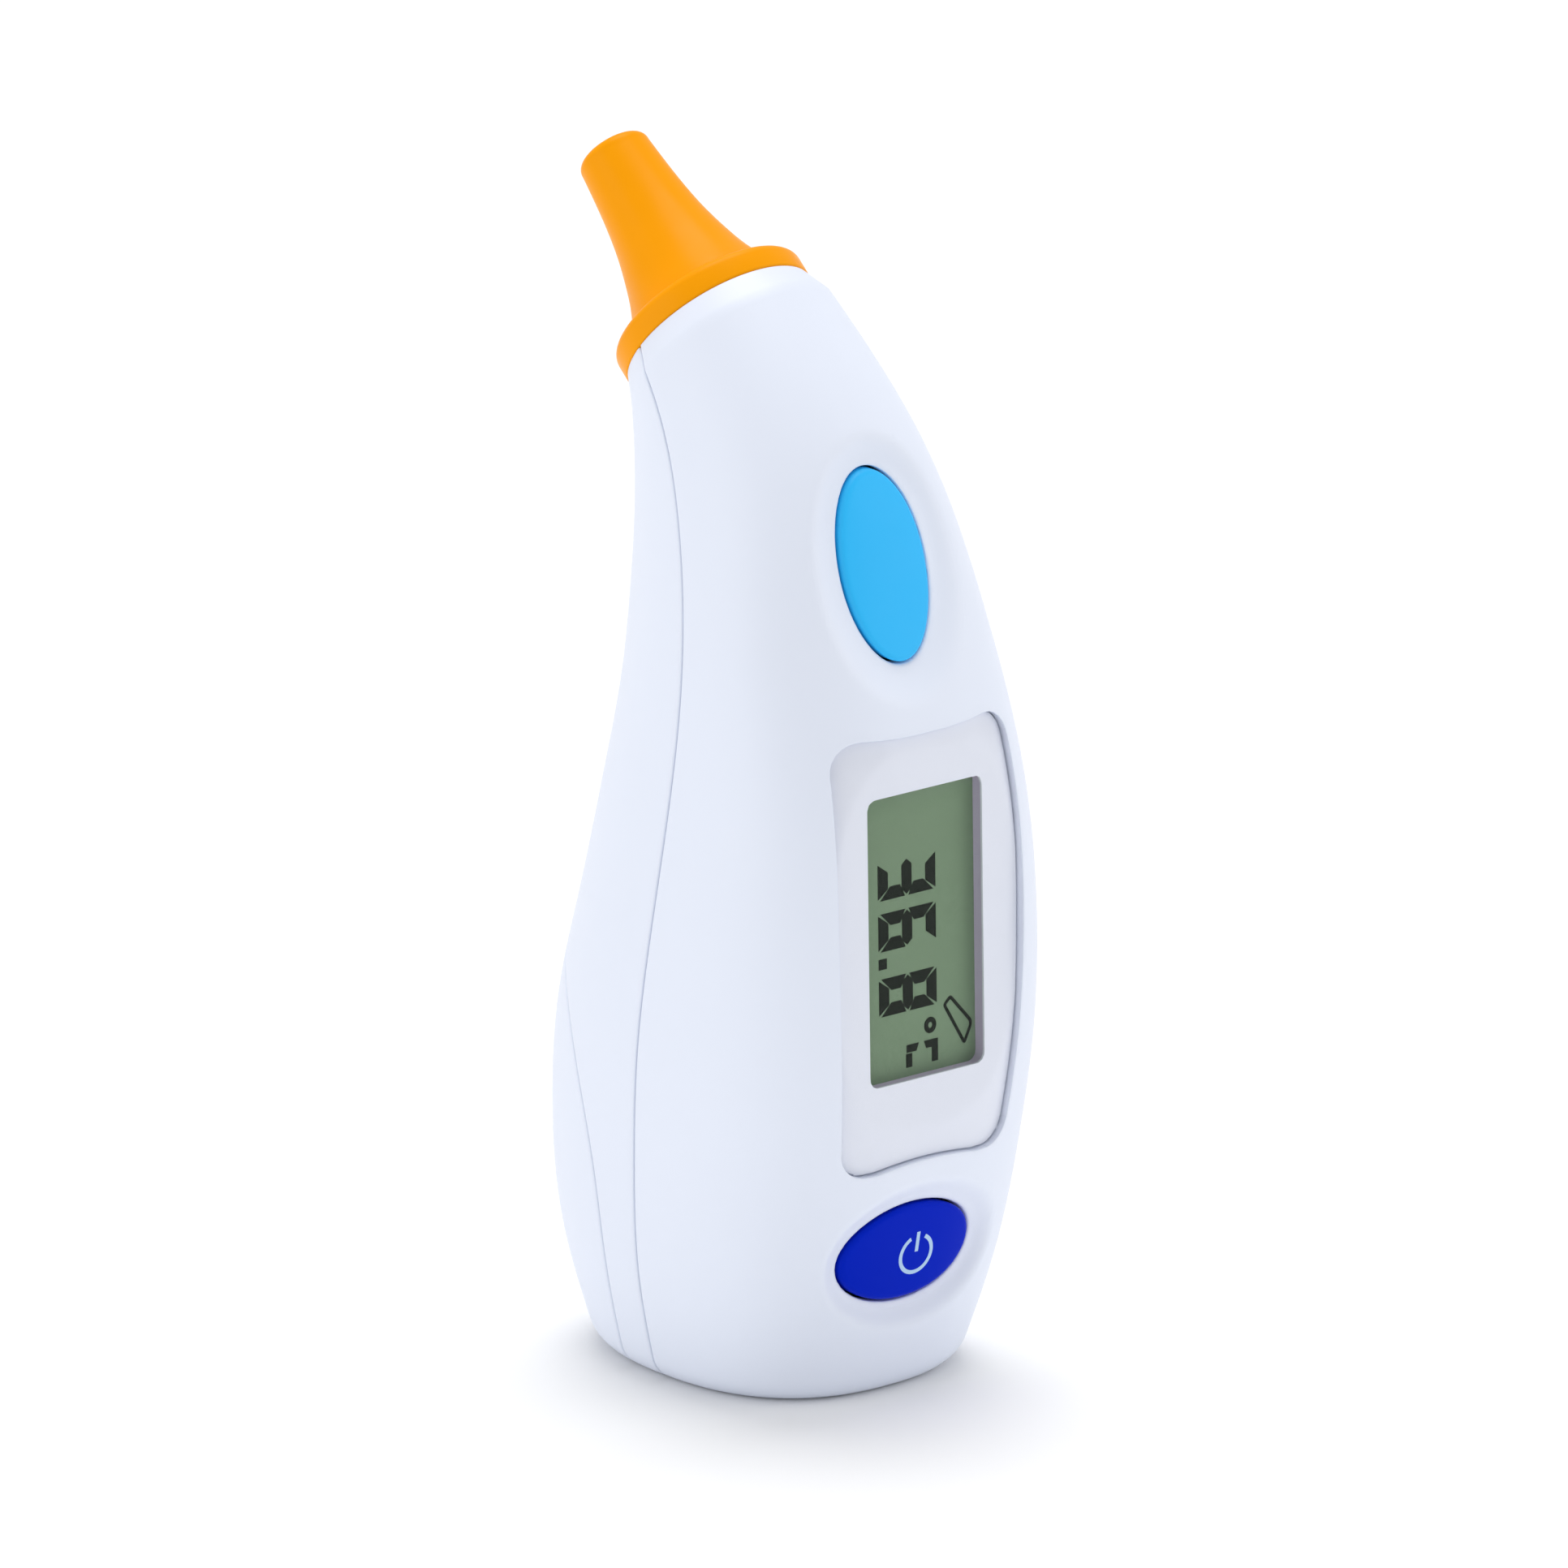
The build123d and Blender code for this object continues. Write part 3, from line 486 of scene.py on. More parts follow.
def outer_rows():
    """Rows of points from the middle of the base up to the collar's rim."""
    turn = 2 * math.pi * (np.arange(COLUMNS) + 0.5) / COLUMNS
    edge = body_points(np.zeros(COLUMNS), turn, BASE_FILLET)
    middle = np.array([0, STATIONS[0][2], 0])
    rows = [middle + share * (edge - middle) for share in np.linspace(0.05, 0.95, 18)]
    for lift in np.radians(np.linspace(0, 90, 9)):
        level = BASE_FILLET * (1 - math.cos(lift))
        rows.append(body_points(np.full(COLUMNS, level), turn, BASE_FILLET * (1 - math.sin(lift))))
        rows[-1][:, 2] = level
    steps = round((TOP_LEVEL - BASE_FILLET) / ROW_STEP)
    levels = np.linspace(BASE_FILLET, TOP_LEVEL, steps + 1)[1:]
    levels = np.concatenate([levels, TOP_LEVEL + np.linspace(0, COLLAR_H, 7)[1:]])
    rows += [body_points(np.full(COLUMNS, level), turn) for level in levels]
    return np.array(rows)


def grid_normals(rows):
    across = np.roll(rows, -1, 1) - np.roll(rows, 1, 1)
    up = np.gradient(rows, axis=0)
    normals = np.cross(across, up)
    return normals / np.linalg.norm(normals, axis=-1, keepdims=True)


def outer_sheet():
    rows = outer_rows()
    normals = grid_normals(rows)
    normals[:18] = (0, 0, -1)
    count, columns = rows.shape[:2]
    co = [*rows.reshape(-1, 3), np.array([0, STATIONS[0][2], 0.0])]
    faces = []
    for r in range(count - 1):
        for c in range(columns):
            a, b = r * columns + c, r * columns + (c + 1) % columns
            faces.append((a, b, b + columns, a + columns))
    pole = count * columns
    faces += [(pole, (c + 1) % columns, c) for c in range(columns)]
    return Sheet(co, [*normals.reshape(-1, 3), (0, 0, -1)], faces)


def round_levels(half):
    steps = [half + SEAM_ROUND * share for share in (0, 0.12, 0.4, 1)]
    return [-level for level in reversed(steps)] + steps


def hole_levels(radius, width=0.0, count=0):
    return [radius * share for share in (0, 0.1, 0.35, 1)] + [
        radius + (width - radius) * (k + 1) / count for k in range(count)
    ]


def build_shells(material):
    """The front and rear halves and the battery cover, cut from one surface."""
    sheet, locked = outer_sheet(), set()
    sheet.cut_levels(lens_distance, LENS_GAP, hole_levels(LENS_ROUND), locked)
    sheet.cut_levels(scan_distance, BUTTON_GAP, hole_levels(BUTTON_ROUND, SCAN_DISH_W, 8), locked)
    sheet.cut_levels(power_distance, BUTTON_GAP, hole_levels(BUTTON_ROUND, POWER_DISH_W, 6), locked)
    sheet.cut_levels(parting_distance, 0, round_levels(SEAM_HALF), locked)
    sheet.cut_levels(cover_distance, 0, round_levels(COVER_HALF), locked)
    co, normals = sheet.arrays()
    faces = [tuple(v.index for v in f.verts) for f in sheet.bm.faces]
    sheet.bm.free()

    lens = along_surface(lens_distance, LENS_GAP, co, normals)
    scan = along_surface(scan_distance, BUTTON_GAP, co, normals)
    power = along_surface(power_distance, BUTTON_GAP, co, normals)
    part = along_surface(parting_distance, 0, co, normals)
    cover = along_surface(cover_distance, 0, co, normals)

    sink = SCAN_DISH * fade(scan, SCAN_DISH_W) + POWER_DISH * fade(power, POWER_DISH_W)
    sink += edge_round(scan, BUTTON_ROUND) + edge_round(power, BUTTON_ROUND) + edge_round(lens, LENS_ROUND)
    seam = edge_round(np.abs(part) - SEAM_HALF, SEAM_ROUND)
    seam += np.where(part < 0, edge_round(np.abs(cover) - COVER_HALF, SEAM_ROUND), 0)
    forward = np.array([0.0, 1.0, 0.0])
    outer = co - normals * seam[:, None] + forward * (sink / np.clip(-normals[:, 1], 0.5, 1))[:, None]

    along = (co - COLLAR_TOP) @ AXIS
    rim = np.clip(1 + along / COLLAR_H, 0, 1) * (co[:, 2] > 100)
    wall = WALL + (COLLAR_TOP_R - COLLAR_BORE_R - WALL) * rim
    inner = co - normals * wall[:, None]
    ledge = np.maximum(front_y(co[:, 0], co[:, 2], LEDGE_DEPTH), display_y(co[:, 2], LEDGE_BACK))
    for distance in (scan, power):
        share = fade(distance, INNER_BLEND)[:, None]
        inner = inner * (1 - share) + (outer + forward * HOLE_WALL) * share
    share = fade(lens, INNER_BLEND)[:, None]
    behind = np.stack([co[:, 0], ledge + LEDGE_THICK, co[:, 2]], -1)
    inner = inner * (1 - share) + behind * share

    _, gradient = lens_distance(co)
    rows = {}
    for i in np.flatnonzero(np.abs(lens) < ON_LINE):
        x, _, z = co[i]
        x_in, _, z_in = co[i] - gradient[i] * LEDGE
        corners = (x, ledge[i], z), (x_in, ledge[i], z_in), (x_in, ledge[i] + LEDGE_THICK, z_in)
        rows[i] = [np.array(corner) for corner in corners]

    def middle(values, face):
        return sum(values[i] for i in face) / len(face)

    groups = {"front_shell": [], "rear_shell": [], "cover_shell": []}
    for face in faces:
        if min(middle(lens, face), middle(scan, face), middle(power, face)) < 0:
            continue
        if middle(part, face) > SEAM_HALF:
            groups["front_shell"].append(face)
        elif middle(part, face) < -SEAM_HALF and middle(cover, face) > COVER_HALF:
            groups["cover_shell"].append(face)
        elif middle(part, face) < -SEAM_HALF and middle(cover, face) < -COVER_HALF:
            groups["rear_shell"].append(face)
    for name, body, node in (
        ("front_shell", "root", "front_housing"),
        ("rear_shell", "root", "rear_housing"),
        ("cover_shell", "cover", "battery_cover"),
    ):
        points, made = stitched(groups[name], outer, inner, rows)
        make_object(name, points, made, body, material, "white_shell", [node])


# ---------------------------------------------------------------- plates seen from the front
def plate_grid(line, margin, step):
    """Flat sheet of squares in the (x, z) plane around a line."""
    low, high = line.min(0) - margin, line.max(0) + margin
    xs = np.arange(low[0], high[0] + step, step)
    zs = np.arange(low[1], high[1] + step, step)
    co = [(x, -40.0, z) for z in zs for x in xs]
    n = len(xs)
    faces = [
        (r * n + c, r * n + c + 1, (r + 1) * n + c + 1, (r + 1) * n + c)
        for r in range(len(zs) - 1)
        for c in range(n - 1)
    ]
    return Sheet(co, [(0, -1, 0)] * len(co), faces)


def plate(name, line, levels, step, front, back, body, material, slot, nodes, hole=None):
    """A plate with a closed outline: front and back give y from x, z and the distance to the edge."""
    sheet, locked = plate_grid(line, 1.0, step), set()
    outline = outline_distance(line, front_only=False)
    sheet.cut_levels(outline, 0, levels, locked)
    if hole is not None:
        inside = outline_distance(hole, front_only=False)
        sheet.cut_levels(inside, 0, [0.0, 0.08], locked)
    co, _ = sheet.arrays()
    faces = [tuple(v.index for v in f.verts) for f in sheet.bm.faces]
    sheet.bm.free()
    edge = -outline(co)[0]
    hole_edge = np.full(len(co), 9.0) if hole is None else inside(co)[0]
    kept = [
        f
        for f in faces
        if sum(edge[i] for i in f) / len(f) > -levels[0] and sum(hole_edge[i] for i in f) > 0
    ]
    x, z = co[:, 0], co[:, 2]
    front_points = np.stack([x, front(x, z, edge + levels[0]), z], -1)
    back_points = np.stack([x, back(x, z), z], -1)
    points, made = stitched(kept, front_points, back_points)
    return make_object(name, points, made, body, material, slot, nodes)


CAP_ROUND, CAP_THICK, WINDOW_ROUND = 0.6, 1.8, 0.22


def button_cap(name, line, button, material, slot):
    """A slightly sunken cap with a rounded rim. It is named like the body it rides on."""
    levels = [-CAP_ROUND * share for share in (0, 0.05, 0.16, 0.34, 0.62, 1)]

    def front(x, z, edge):
        return front_y(x, z, button["sunk"]) + edge_round(edge, CAP_ROUND)

    def back(x, z):
        return front_y(x, z, button["sunk"]) + CAP_THICK

    return plate(name, line, levels, 0.45, front, back, name, material, slot, [f"{name}_cap"])


def display_window(material):
    levels = [-WINDOW_ROUND * share for share in (0, 0.1, 0.35, 1)]

    def front(x, z, edge):
        return front_y(x, z) + edge_round(edge, WINDOW_ROUND)

    def back(x, z):
        return np.maximum(front_y(x, z, LENS_EDGE), display_y(z, -0.05))

    args = (front, back, "root", material, "clear_lens", ["display_lens"])
    return plate("display_window", LENS_LINE, levels, 0.6, *args)


def mask_front(x, z):
    return np.maximum(front_y(x, z, LENS_EDGE + 0.05), display_y(z))


def display_print(material):
    def front(x, z, edge):
        return mask_front(x, z)

    def back(x, z):
        return mask_front(x, z) + 0.3

    args = (front, back, "root", material, "printed_mask", ["display_mask"])
    return plate("display_print", LENS_LINE, [-0.12], 0.6, *args, hole=OPENING_LINE)


# ---------------------------------------------------------------- what the display shows
GLYPH_BASE, GLYPH_W, GLYPH_H, STROKE, CREVICE = -5.7, 4.6, 8.8, 1.55, 0.17
INK_LEVELS = (LCD_DEPTH - 0.03, LCD_DEPTH - 0.002)
POINT_Z, UNIT_Z, UNIT_BASE, UNIT_STROKE, UNIT_W, UNIT_H = 55.2, 44.0, 4.0, 0.95, 2.75, 4.9
DEGREE_X, DEGREE_Z, DEGREE_STROKE, ICON_STROKE = 2.05, 45.75, 0.62, 0.42
PROBE_ICON = [(4.25, 47.75), (5.17, 48.6), (8.2, 45.15), (8.23, 44.55), (7.24, 42.6)]


def segments(width, height, stroke, gap):
    """The seven strokes of a digit, as outlines in the glyph's own (right, up) plane."""
    half, mid, slant = stroke / 2, height / 2, stroke * 0.72
    under = height - stroke
    top = [(gap, height), (width - gap, height), (width - slant - gap, under), (slant + gap, under)]
    bar = [
        (gap, mid),
        (slant * 0.75, mid + half),
        (width - slant * 0.75, mid + half),
        (width - gap, mid),
        (width - slant * 0.75, mid - half),
        (slant * 0.75, mid - half),
    ]
    left_up = [
        (0, height - 2 * gap),
        (0, mid + gap * 1.5),
        (stroke, mid + half + gap * 1.5),
        (stroke, height - stroke * 1.05 - gap * 1.5),
    ]

    def mirror(line, across=False, over=False):
        return [(width - u if across else u, height - v if over else v) for u, v in line]

    return {
        "a": top,
        "d": mirror(top, over=True),
        "g": bar,
        "f": left_up,
        "b": mirror(left_up, across=True),
        "e": mirror(left_up, over=True),
        "c": mirror(left_up, across=True, over=True),
    }


# the strokes of each digit that are lit, and the height at which it starts
DIGITS = {"3": ("abgcd", 66.85), "6": ("afgecd", 60.65), "8": ("abcdefg", 52.75)}


def display_ink(name, outlines, material):
    """Thin flat shapes on the display glass, from closed outlines in (x, z)."""
    co, faces = [], []
    for outline in outlines:
        n, first = len(outline), len(co)
        for depth in INK_LEVELS:
            co += [(x, display_y(z, depth), z) for x, z in outline]
        faces.append(tuple(range(first, first + n)))
        faces.append(tuple(range(first + 2 * n - 1, first + n - 1, -1)))
        for i in range(n):
            j = (i + 1) % n
            faces.append((first + j, first + i, first + n + i, first + n + j))
    return make_object(name, co, faces, "root", material, "chip_plastic")


def band_piece(name, line, width, material):
    """A closed line of constant width on the display glass."""
    points = np.array(line, float)
    run = np.roll(points, -1, 0) - points
    run /= np.linalg.norm(run, axis=1, keepdims=True)
    normal = np.stack([-run[:, 1], run[:, 0]], -1)
    mitre = normal + np.roll(normal, 1, 0)
    mitre /= np.maximum((mitre * normal).sum(1, keepdims=True), 0.25)
    n, co, faces = len(points), [], []
    for depth in INK_LEVELS:
        for loop in (points - mitre * width / 2, points + mitre * width / 2):
            co += [(x, display_y(z, depth), z) for x, z in loop]
    for a in range(n):
        b = (a + 1) % n
        faces.append((a, b, b + n, a + n))
        faces.append((a + 2 * n, a + 3 * n, b + 3 * n, b + 2 * n))
        faces.append((b, a, a + 2 * n, b + 2 * n))
        faces.append((a + n, b + n, b + 3 * n, a + 3 * n))
    return make_object(name, co, faces, "root", material, "chip_plastic")


def rounded_polygon(corners, radius, steps=5):
    """Closed polygon with its corners rounded by quadratic curves."""
    corners = np.array(corners, float)
    points = []
    for i, corner in enumerate(corners):
        before, after = corners[i - 1] - corner, corners[(i + 1) % len(corners)] - corner
        start = corner + before / np.linalg.norm(before) * radius
        end = corner + after / np.linalg.norm(after) * radius
        for t in np.linspace(0, 1, steps):
            points.append((1 - t) ** 2 * start + 2 * t * (1 - t) * corner + t**2 * end)
    return points


def turned(outline, z_start):
    """A glyph outline turned a quarter: it reads down the display, with its top towards +X."""
    return [(GLYPH_BASE + up, z_start - right) for right, up in outline]


def display_readout(material):
    strokes = segments(GLYPH_W, GLYPH_H, STROKE, CREVICE)
    for digit, (lit, z_start) in DIGITS.items():
        display_ink(f"readout_{digit}", [turned(strokes[k], z_start) for k in lit], material)
    display_ink("readout_point", [turned(box_corners(0.0, 0.0, 1.3, 1.25), POINT_Z)], material)
    turns = np.linspace(0, 2 * math.pi, 25)[:-1]
    ring = [(DEGREE_X + 0.62 * math.cos(t), DEGREE_Z + 0.68 * math.sin(t)) for t in turns]
    band_piece("readout_degree", ring, DEGREE_STROKE, material)
    stroke, width, height = UNIT_STROKE, UNIT_W, UNIT_H
    unit_letter = [
        [(0, 0.1), (0, 2.0), (stroke, 1.6), (stroke, 0.1)],
        [(stroke + 0.12, 0.0), (stroke + 0.12, stroke), (width, stroke), (width, 0.0)],
        [(0, 2.75), (0, height), (stroke, height - stroke), (stroke, 3.1)],
        [(0, height), (width, height), (width, height - stroke), (stroke, height - stroke)],
    ]
    moved = [[(right, up + UNIT_BASE) for right, up in part] for part in unit_letter]
    display_ink("readout_unit", [turned(part, UNIT_Z) for part in moved], material)
    band_piece("readout_probe_icon", rounded_polygon(PROBE_ICON, 0.28), ICON_STROKE, material)


# ---------------------------------------------------------------- the symbol in the power button
ICON_X, ICON_Z, ICON_IN, ICON_OUT, ICON_GAP = 1.2, 17.4, 2.1, 2.6, 27
BAR_LOW, BAR_HIGH, BAR_HALF, INLAY_LEVELS = 0.3, 2.85, 0.25, (-0.02, 0.15)


def power_symbol(material):
    """A broken ring with a bar in its gap, laid into the button's face."""
    co, faces = [], []

    def strip(left, right):
        first, n = len(co), len(left)
        for lift in INLAY_LEVELS:
            for x, z in [*left, *right]:
                co.append((x, float(front_y(x, z, POWER["sunk"])) + lift, z))
        for k in range(n - 1):
            a, b, c, d = first + k, first + k + 1, first + n + k + 1, first + n + k
            faces.append((a, b, c, d))
            faces.append((d + 2 * n, c + 2 * n, b + 2 * n, a + 2 * n))
            faces.append((b, a, a + 2 * n, b + 2 * n))
            faces.append((d, c, c + 2 * n, d + 2 * n))
        for k in (0, n - 1):
            a, d = first + k, first + n + k
            end = (a, d, d + 2 * n, a + 2 * n)
            faces.append(end if k == 0 else end[::-1])

    turns = np.radians(np.linspace(90 + ICON_GAP, 450 - ICON_GAP, 60))
    loops = [
        [(ICON_X + r * math.cos(t), ICON_Z + r * math.sin(t)) for t in turns] for r in (ICON_OUT, ICON_IN)
    ]
    strip(*loops)
    heights = np.linspace(ICON_Z + BAR_LOW, ICON_Z + BAR_HIGH, 6)
    strip([(ICON_X - BAR_HALF, z) for z in heights], [(ICON_X + BAR_HALF, z) for z in heights])
    args = ("power_button", material, "pale_blue_inlay", ["power_icon_inlay"])
    make_object("power_symbol", co, faces, *args)


# ---------------------------------------------------------------- turned pieces
def lathe(name, profile, place, body, material, slot, nodes, steps=128, sharp=35):
    """A closed (radius, height) profile turned about an axis. place gives a point from x, y, s.
    Points at radius 0 become poles."""
    co, faces, rings = [], [], []
    for radius, s in profile:
        if radius < 1e-6:
            rings.append([len(co)] * steps)
            co.append(place(0.0, 0.0, s))
            continue
        rings.append(list(range(len(co), len(co) + steps)))
        for k in range(steps):
            t = 2 * math.pi * k / steps
            co.append(place(radius * math.cos(t), radius * math.sin(t), s))
    closed = profile[0][0] > 1e-6 or profile[-1][0] > 1e-6
    pairs = list(zip(rings, rings[1:])) + ([(rings[-1], rings[0])] if closed else [])
    for one, two in pairs:
        for k in range(steps):
            j = (k + 1) % steps
            face = [one[k], one[j], two[j], two[k]]
            face = [p for i, p in enumerate(face) if p not in face[:i]]
            if len(face) > 2:
                faces.append(tuple(face))
    return make_object(name, co, faces, body, material, slot, nodes, sharp)


def arc(centre, radius, start, end, steps=7):
    turns = np.radians(np.linspace(start, end, steps))
    return [(centre[0] + radius * math.cos(t), centre[1] + radius * math.sin(t)) for t in turns]


def along_probe(x, y, s):
    return on_axis(s) + np.array([x, 0, 0]) + y * AXIS_SIDE


# outside and inside of the probe as (radius, height above the collar)
CONE = [(9.6, 3.5), (7.95, 7.0), (6.85, 10.4), (5.95, 14.0), (5.27, 18.0), (4.8, 22.0), (4.5, 25.2)]
BORE = [(2.7, 25.35), (3.1, 25.3), (3.1, 14.5), (5.7, 9.6), (6.6, 6.6), (8.2, 2.0), (8.2, -2.5)]
FLANGE_R, FLANGE_H, FLANGE_ROUND, SPIGOT_R, CONE_FOOT = 12.3, 3.5, 1.15, 10.2, 0.55
WINDOW_R, WINDOW_BACK, WINDOW_RIM, WINDOW_CROWN = 2.66, 25.32, 25.55, 0.28


def probe_nose(material):
    radius = natural_spline([s for _, s in CONE], [r for r, _ in CONE])
    start = CONE[0][1] + CONE_FOOT
    cone = [(float(radius(s)), s) for s in np.linspace(start, CONE[-1][1], 50)]
    profile = [(SPIGOT_R, -2.5), (SPIGOT_R, 0.02)]
    profile += arc((FLANGE_R - 0.35, 0.37), 0.35, -90, 0, 5)
    profile += arc((FLANGE_R - FLANGE_ROUND, FLANGE_H - FLANGE_ROUND), FLANGE_ROUND, 0, 90, 10)
    profile += arc((cone[0][0] + CONE_FOOT, start), CONE_FOOT, 270, 180, 6)[:-1]
    profile += cone
    profile += arc((3.35, 25.35), 1.15, 0, 90, 9)
    profile += arc((3.1, 26.1), 0.4, 90, 180, 5)
    profile += BORE
    lathe("probe_cone", profile, along_probe, "root", material, "orange_plastic", ["probe_nose"], 144)


def probe_window(material):
    turns = np.radians(np.linspace(90, 0, 9))
    dome = [(WINDOW_R * math.sin(t), WINDOW_RIM + WINDOW_CROWN * math.cos(t)) for t in turns]
    dome[-1] = (0.0, WINDOW_RIM + WINDOW_CROWN)
    profile = [(0.0, WINDOW_BACK), (WINDOW_R, WINDOW_BACK)] + dome
    lathe("probe_tip_window", profile, along_probe, "root", material, "window_film", ["probe_window"], 96)


# ---------------------------------------------------------------- batteries and their contacts
CELL_R, CELL_BODY, NUB_R, NUB_H, CELL_X, CELL_Y = 5.25, 43.5, 1.9, 1.0, 5.7, 13.1
CONTACT, CONTACT_LOW, CONTACT_HIGH = 0.3, 4.0, 51.2
SPRING_WIRE, SPRING_R, LEAF_EDGE = 0.35, 2.6, 0.08
TAB_X, TAB_HALF, TAB_FRONT = 4.0, 0.7, 5.4


def battery(name, side, material, metal):
    """A cell with crimped ends, a plain sleeve and a nub, and its positive end up on the left."""
    low = CONTACT_HIGH - CONTACT - NUB_H - CELL_BODY if side < 0 else CONTACT_LOW + CONTACT + NUB_H
    r = CELL_R

    def place(x, y, s):
        height = s if side < 0 else CELL_BODY - s
        return np.array([side * CELL_X + x, CELL_Y + y, low + height])

    sleeve = [(r - 1.0, 0.25), (r - 0.55, 0.1)] + arc((r - 0.5, 0.6), 0.5, -80, 0, 6)
    top = CELL_BODY
    sleeve += arc((r - 0.6, top - 0.75), 0.6, 0, 85, 6)
    sleeve += [(r - 1.1, top - 0.12), (r - 1.2, top - 0.4), (r - 1.2, 0.5)]
    lathe(f"{name}_sleeve", sleeve, place, "root", material, "cell_jacket", [name], 72)
    can = [(0, 0.05), (r - 1.6, 0.0), (r - 1.35, 0.18), (r - 1.22, 0.5), (r - 1.22, top - 0.4)]
    can += [(r - 1.45, top - 0.3), (NUB_R + 0.9, top - 0.25)]
    can += arc((NUB_R + 0.35, top - 0.05), 0.2, -90, -180, 4)
    can += arc((NUB_R - 0.3, top + NUB_H - 0.3), 0.3, 0, 90, 5) + [(0, top + NUB_H)]
    lathe(f"{name}_ends", can, place, "root", metal, "nickel_contact", (), 72)


def tube(co, faces, path, radius, steps=10):
    """Adds a round wire along a path, with rounded-off flat ends."""
    path = np.array(path, float)
    run = np.gradient(path, axis=0)
    run /= np.linalg.norm(run, axis=1, keepdims=True)
    side = np.cross(run[0], [0.3, 0.2, 1.0] if abs(run[0][2]) < 0.9 else [1.0, 0, 0])
    first = len(co)
    for k, (p, t) in enumerate(zip(path, run)):
        side = side - (side @ t) * t
        side /= np.linalg.norm(side)
        up = np.cross(t, side)
        for j in range(steps):
            a = 2 * math.pi * j / steps
            co.append(p + radius * (math.cos(a) * side + math.sin(a) * up))
    for k in range(len(path) - 1):
        for j in range(steps):
            i = (j + 1) % steps
            a, b = first + k * steps, first + (k + 1) * steps
            faces.append((a + j, a + i, b + i, b + j))
    faces.append(tuple(first + j for j in reversed(range(steps))))
    faces.append(tuple(first + (len(path) - 1) * steps + j for j in range(steps)))


def box_corners(u_low, v_low, u_high, v_high):
    return [(u_low, v_low), (u_high, v_low), (u_high, v_high), (u_low, v_high)]


def leaf(co, faces, x_low, x_high, y_low, y_high, z, corner=0.8):
    """Adds a thin sprung plate with rounded corners."""
    outline, inset = [
        rounded_polygon(box_corners(x_low + by, y_low + by, x_high - by, y_high - by), corner, 6)
        for by in (0, LEAF_EDGE)
    ]
    n, first = len(outline), len(co)
    for line, level in ((inset, 0), (outline, LEAF_EDGE), (outline, CONTACT - LEAF_EDGE), (inset, CONTACT)):
        co += [np.array([p[0], p[1], z + level]) for p in line]
    for ring in range(3):
        for k in range(n):
            j = (k + 1) % n
            a, b = first + ring * n, first + (ring + 1) * n
            faces.append((a + k, a + j, b + j, b + k))
    faces.append(tuple(first + k for k in reversed(range(n))))
    faces.append(tuple(first + 3 * n + k for k in range(n)))


def helix(x, low, high, turns=3.5, steps=36):
    """Spring line that starts and ends with a flat turn and closes in a little towards its free end."""
    count = int(turns * steps)
    path = []
    for k in range(count + 1):
        share = k / count
        rise = min(max((share * turns - 0.6) / (turns - 1.2), 0.0), 1.0)
        rise = rise * rise * (3 - 2 * rise)
        a = 2 * math.pi * share * turns
        spot = (x + SPRING_R * math.cos(a), CELL_Y + SPRING_R * math.sin(a))
        path.append((*spot, low + (high - low) * rise))
    return path


def battery_contacts(metal):
    y_low, y_high = CELL_Y - 4.4, CELL_Y + 3.6
    low, high = CONTACT_LOW, CONTACT_HIGH - CONTACT
    cell_low = high - NUB_H - CELL_BODY
    cell_high = low + CONTACT + NUB_H + CELL_BODY
    wire = SPRING_WIRE
    for name, x_low, x_high, z, spring in (
        ("battery_negative_contact", -10.2, -1.2, low, (-CELL_X, low + CONTACT + wire, cell_low - wire)),
        ("battery_positive_contact", 1.2, 10.2, low, None),
        ("battery_bridge_contact", -10.2, 10.2, high, (CELL_X, high - wire, cell_high + wire)),
    ):
        co, faces = [], []
        leaf(co, faces, x_low, x_high, y_low, y_high, z)
        if z == low:
            side = -1 if x_low < 0 else 1
            tab = side * TAB_X
            leaf(co, faces, tab - TAB_HALF, tab + TAB_HALF, TAB_FRONT, y_low + 0.6, z, 0.2)
        if spring:
            tube(co, faces, helix(*spring), wire)
        make_object(f"{name}_sprung", co, faces, "root", metal, "nickel_contact", [name])


# ---------------------------------------------------------------- battery bay
SHELF_NEAR, SHELF_THICK = 0.45, 1.4
TRAY_X, TRAY_FRONT, TRAY_BACK, TRAY_HIGH = 12.5, 6.0, 20.0, 52.45


def inner_half(y, z, inset):
    """Half-width of the body's inside at a height, for a point y deep."""
    _, _, yc, front, back, half, n_front, n_back = [float(curve(z)) for curve in CURVES]
    depth, power = (front, n_front) if y < yc else (back, n_back)
    across = min(abs(y - yc) / (depth - inset), 1.0)
    return (half - inset) * (1 - across**power) ** (1 / power)


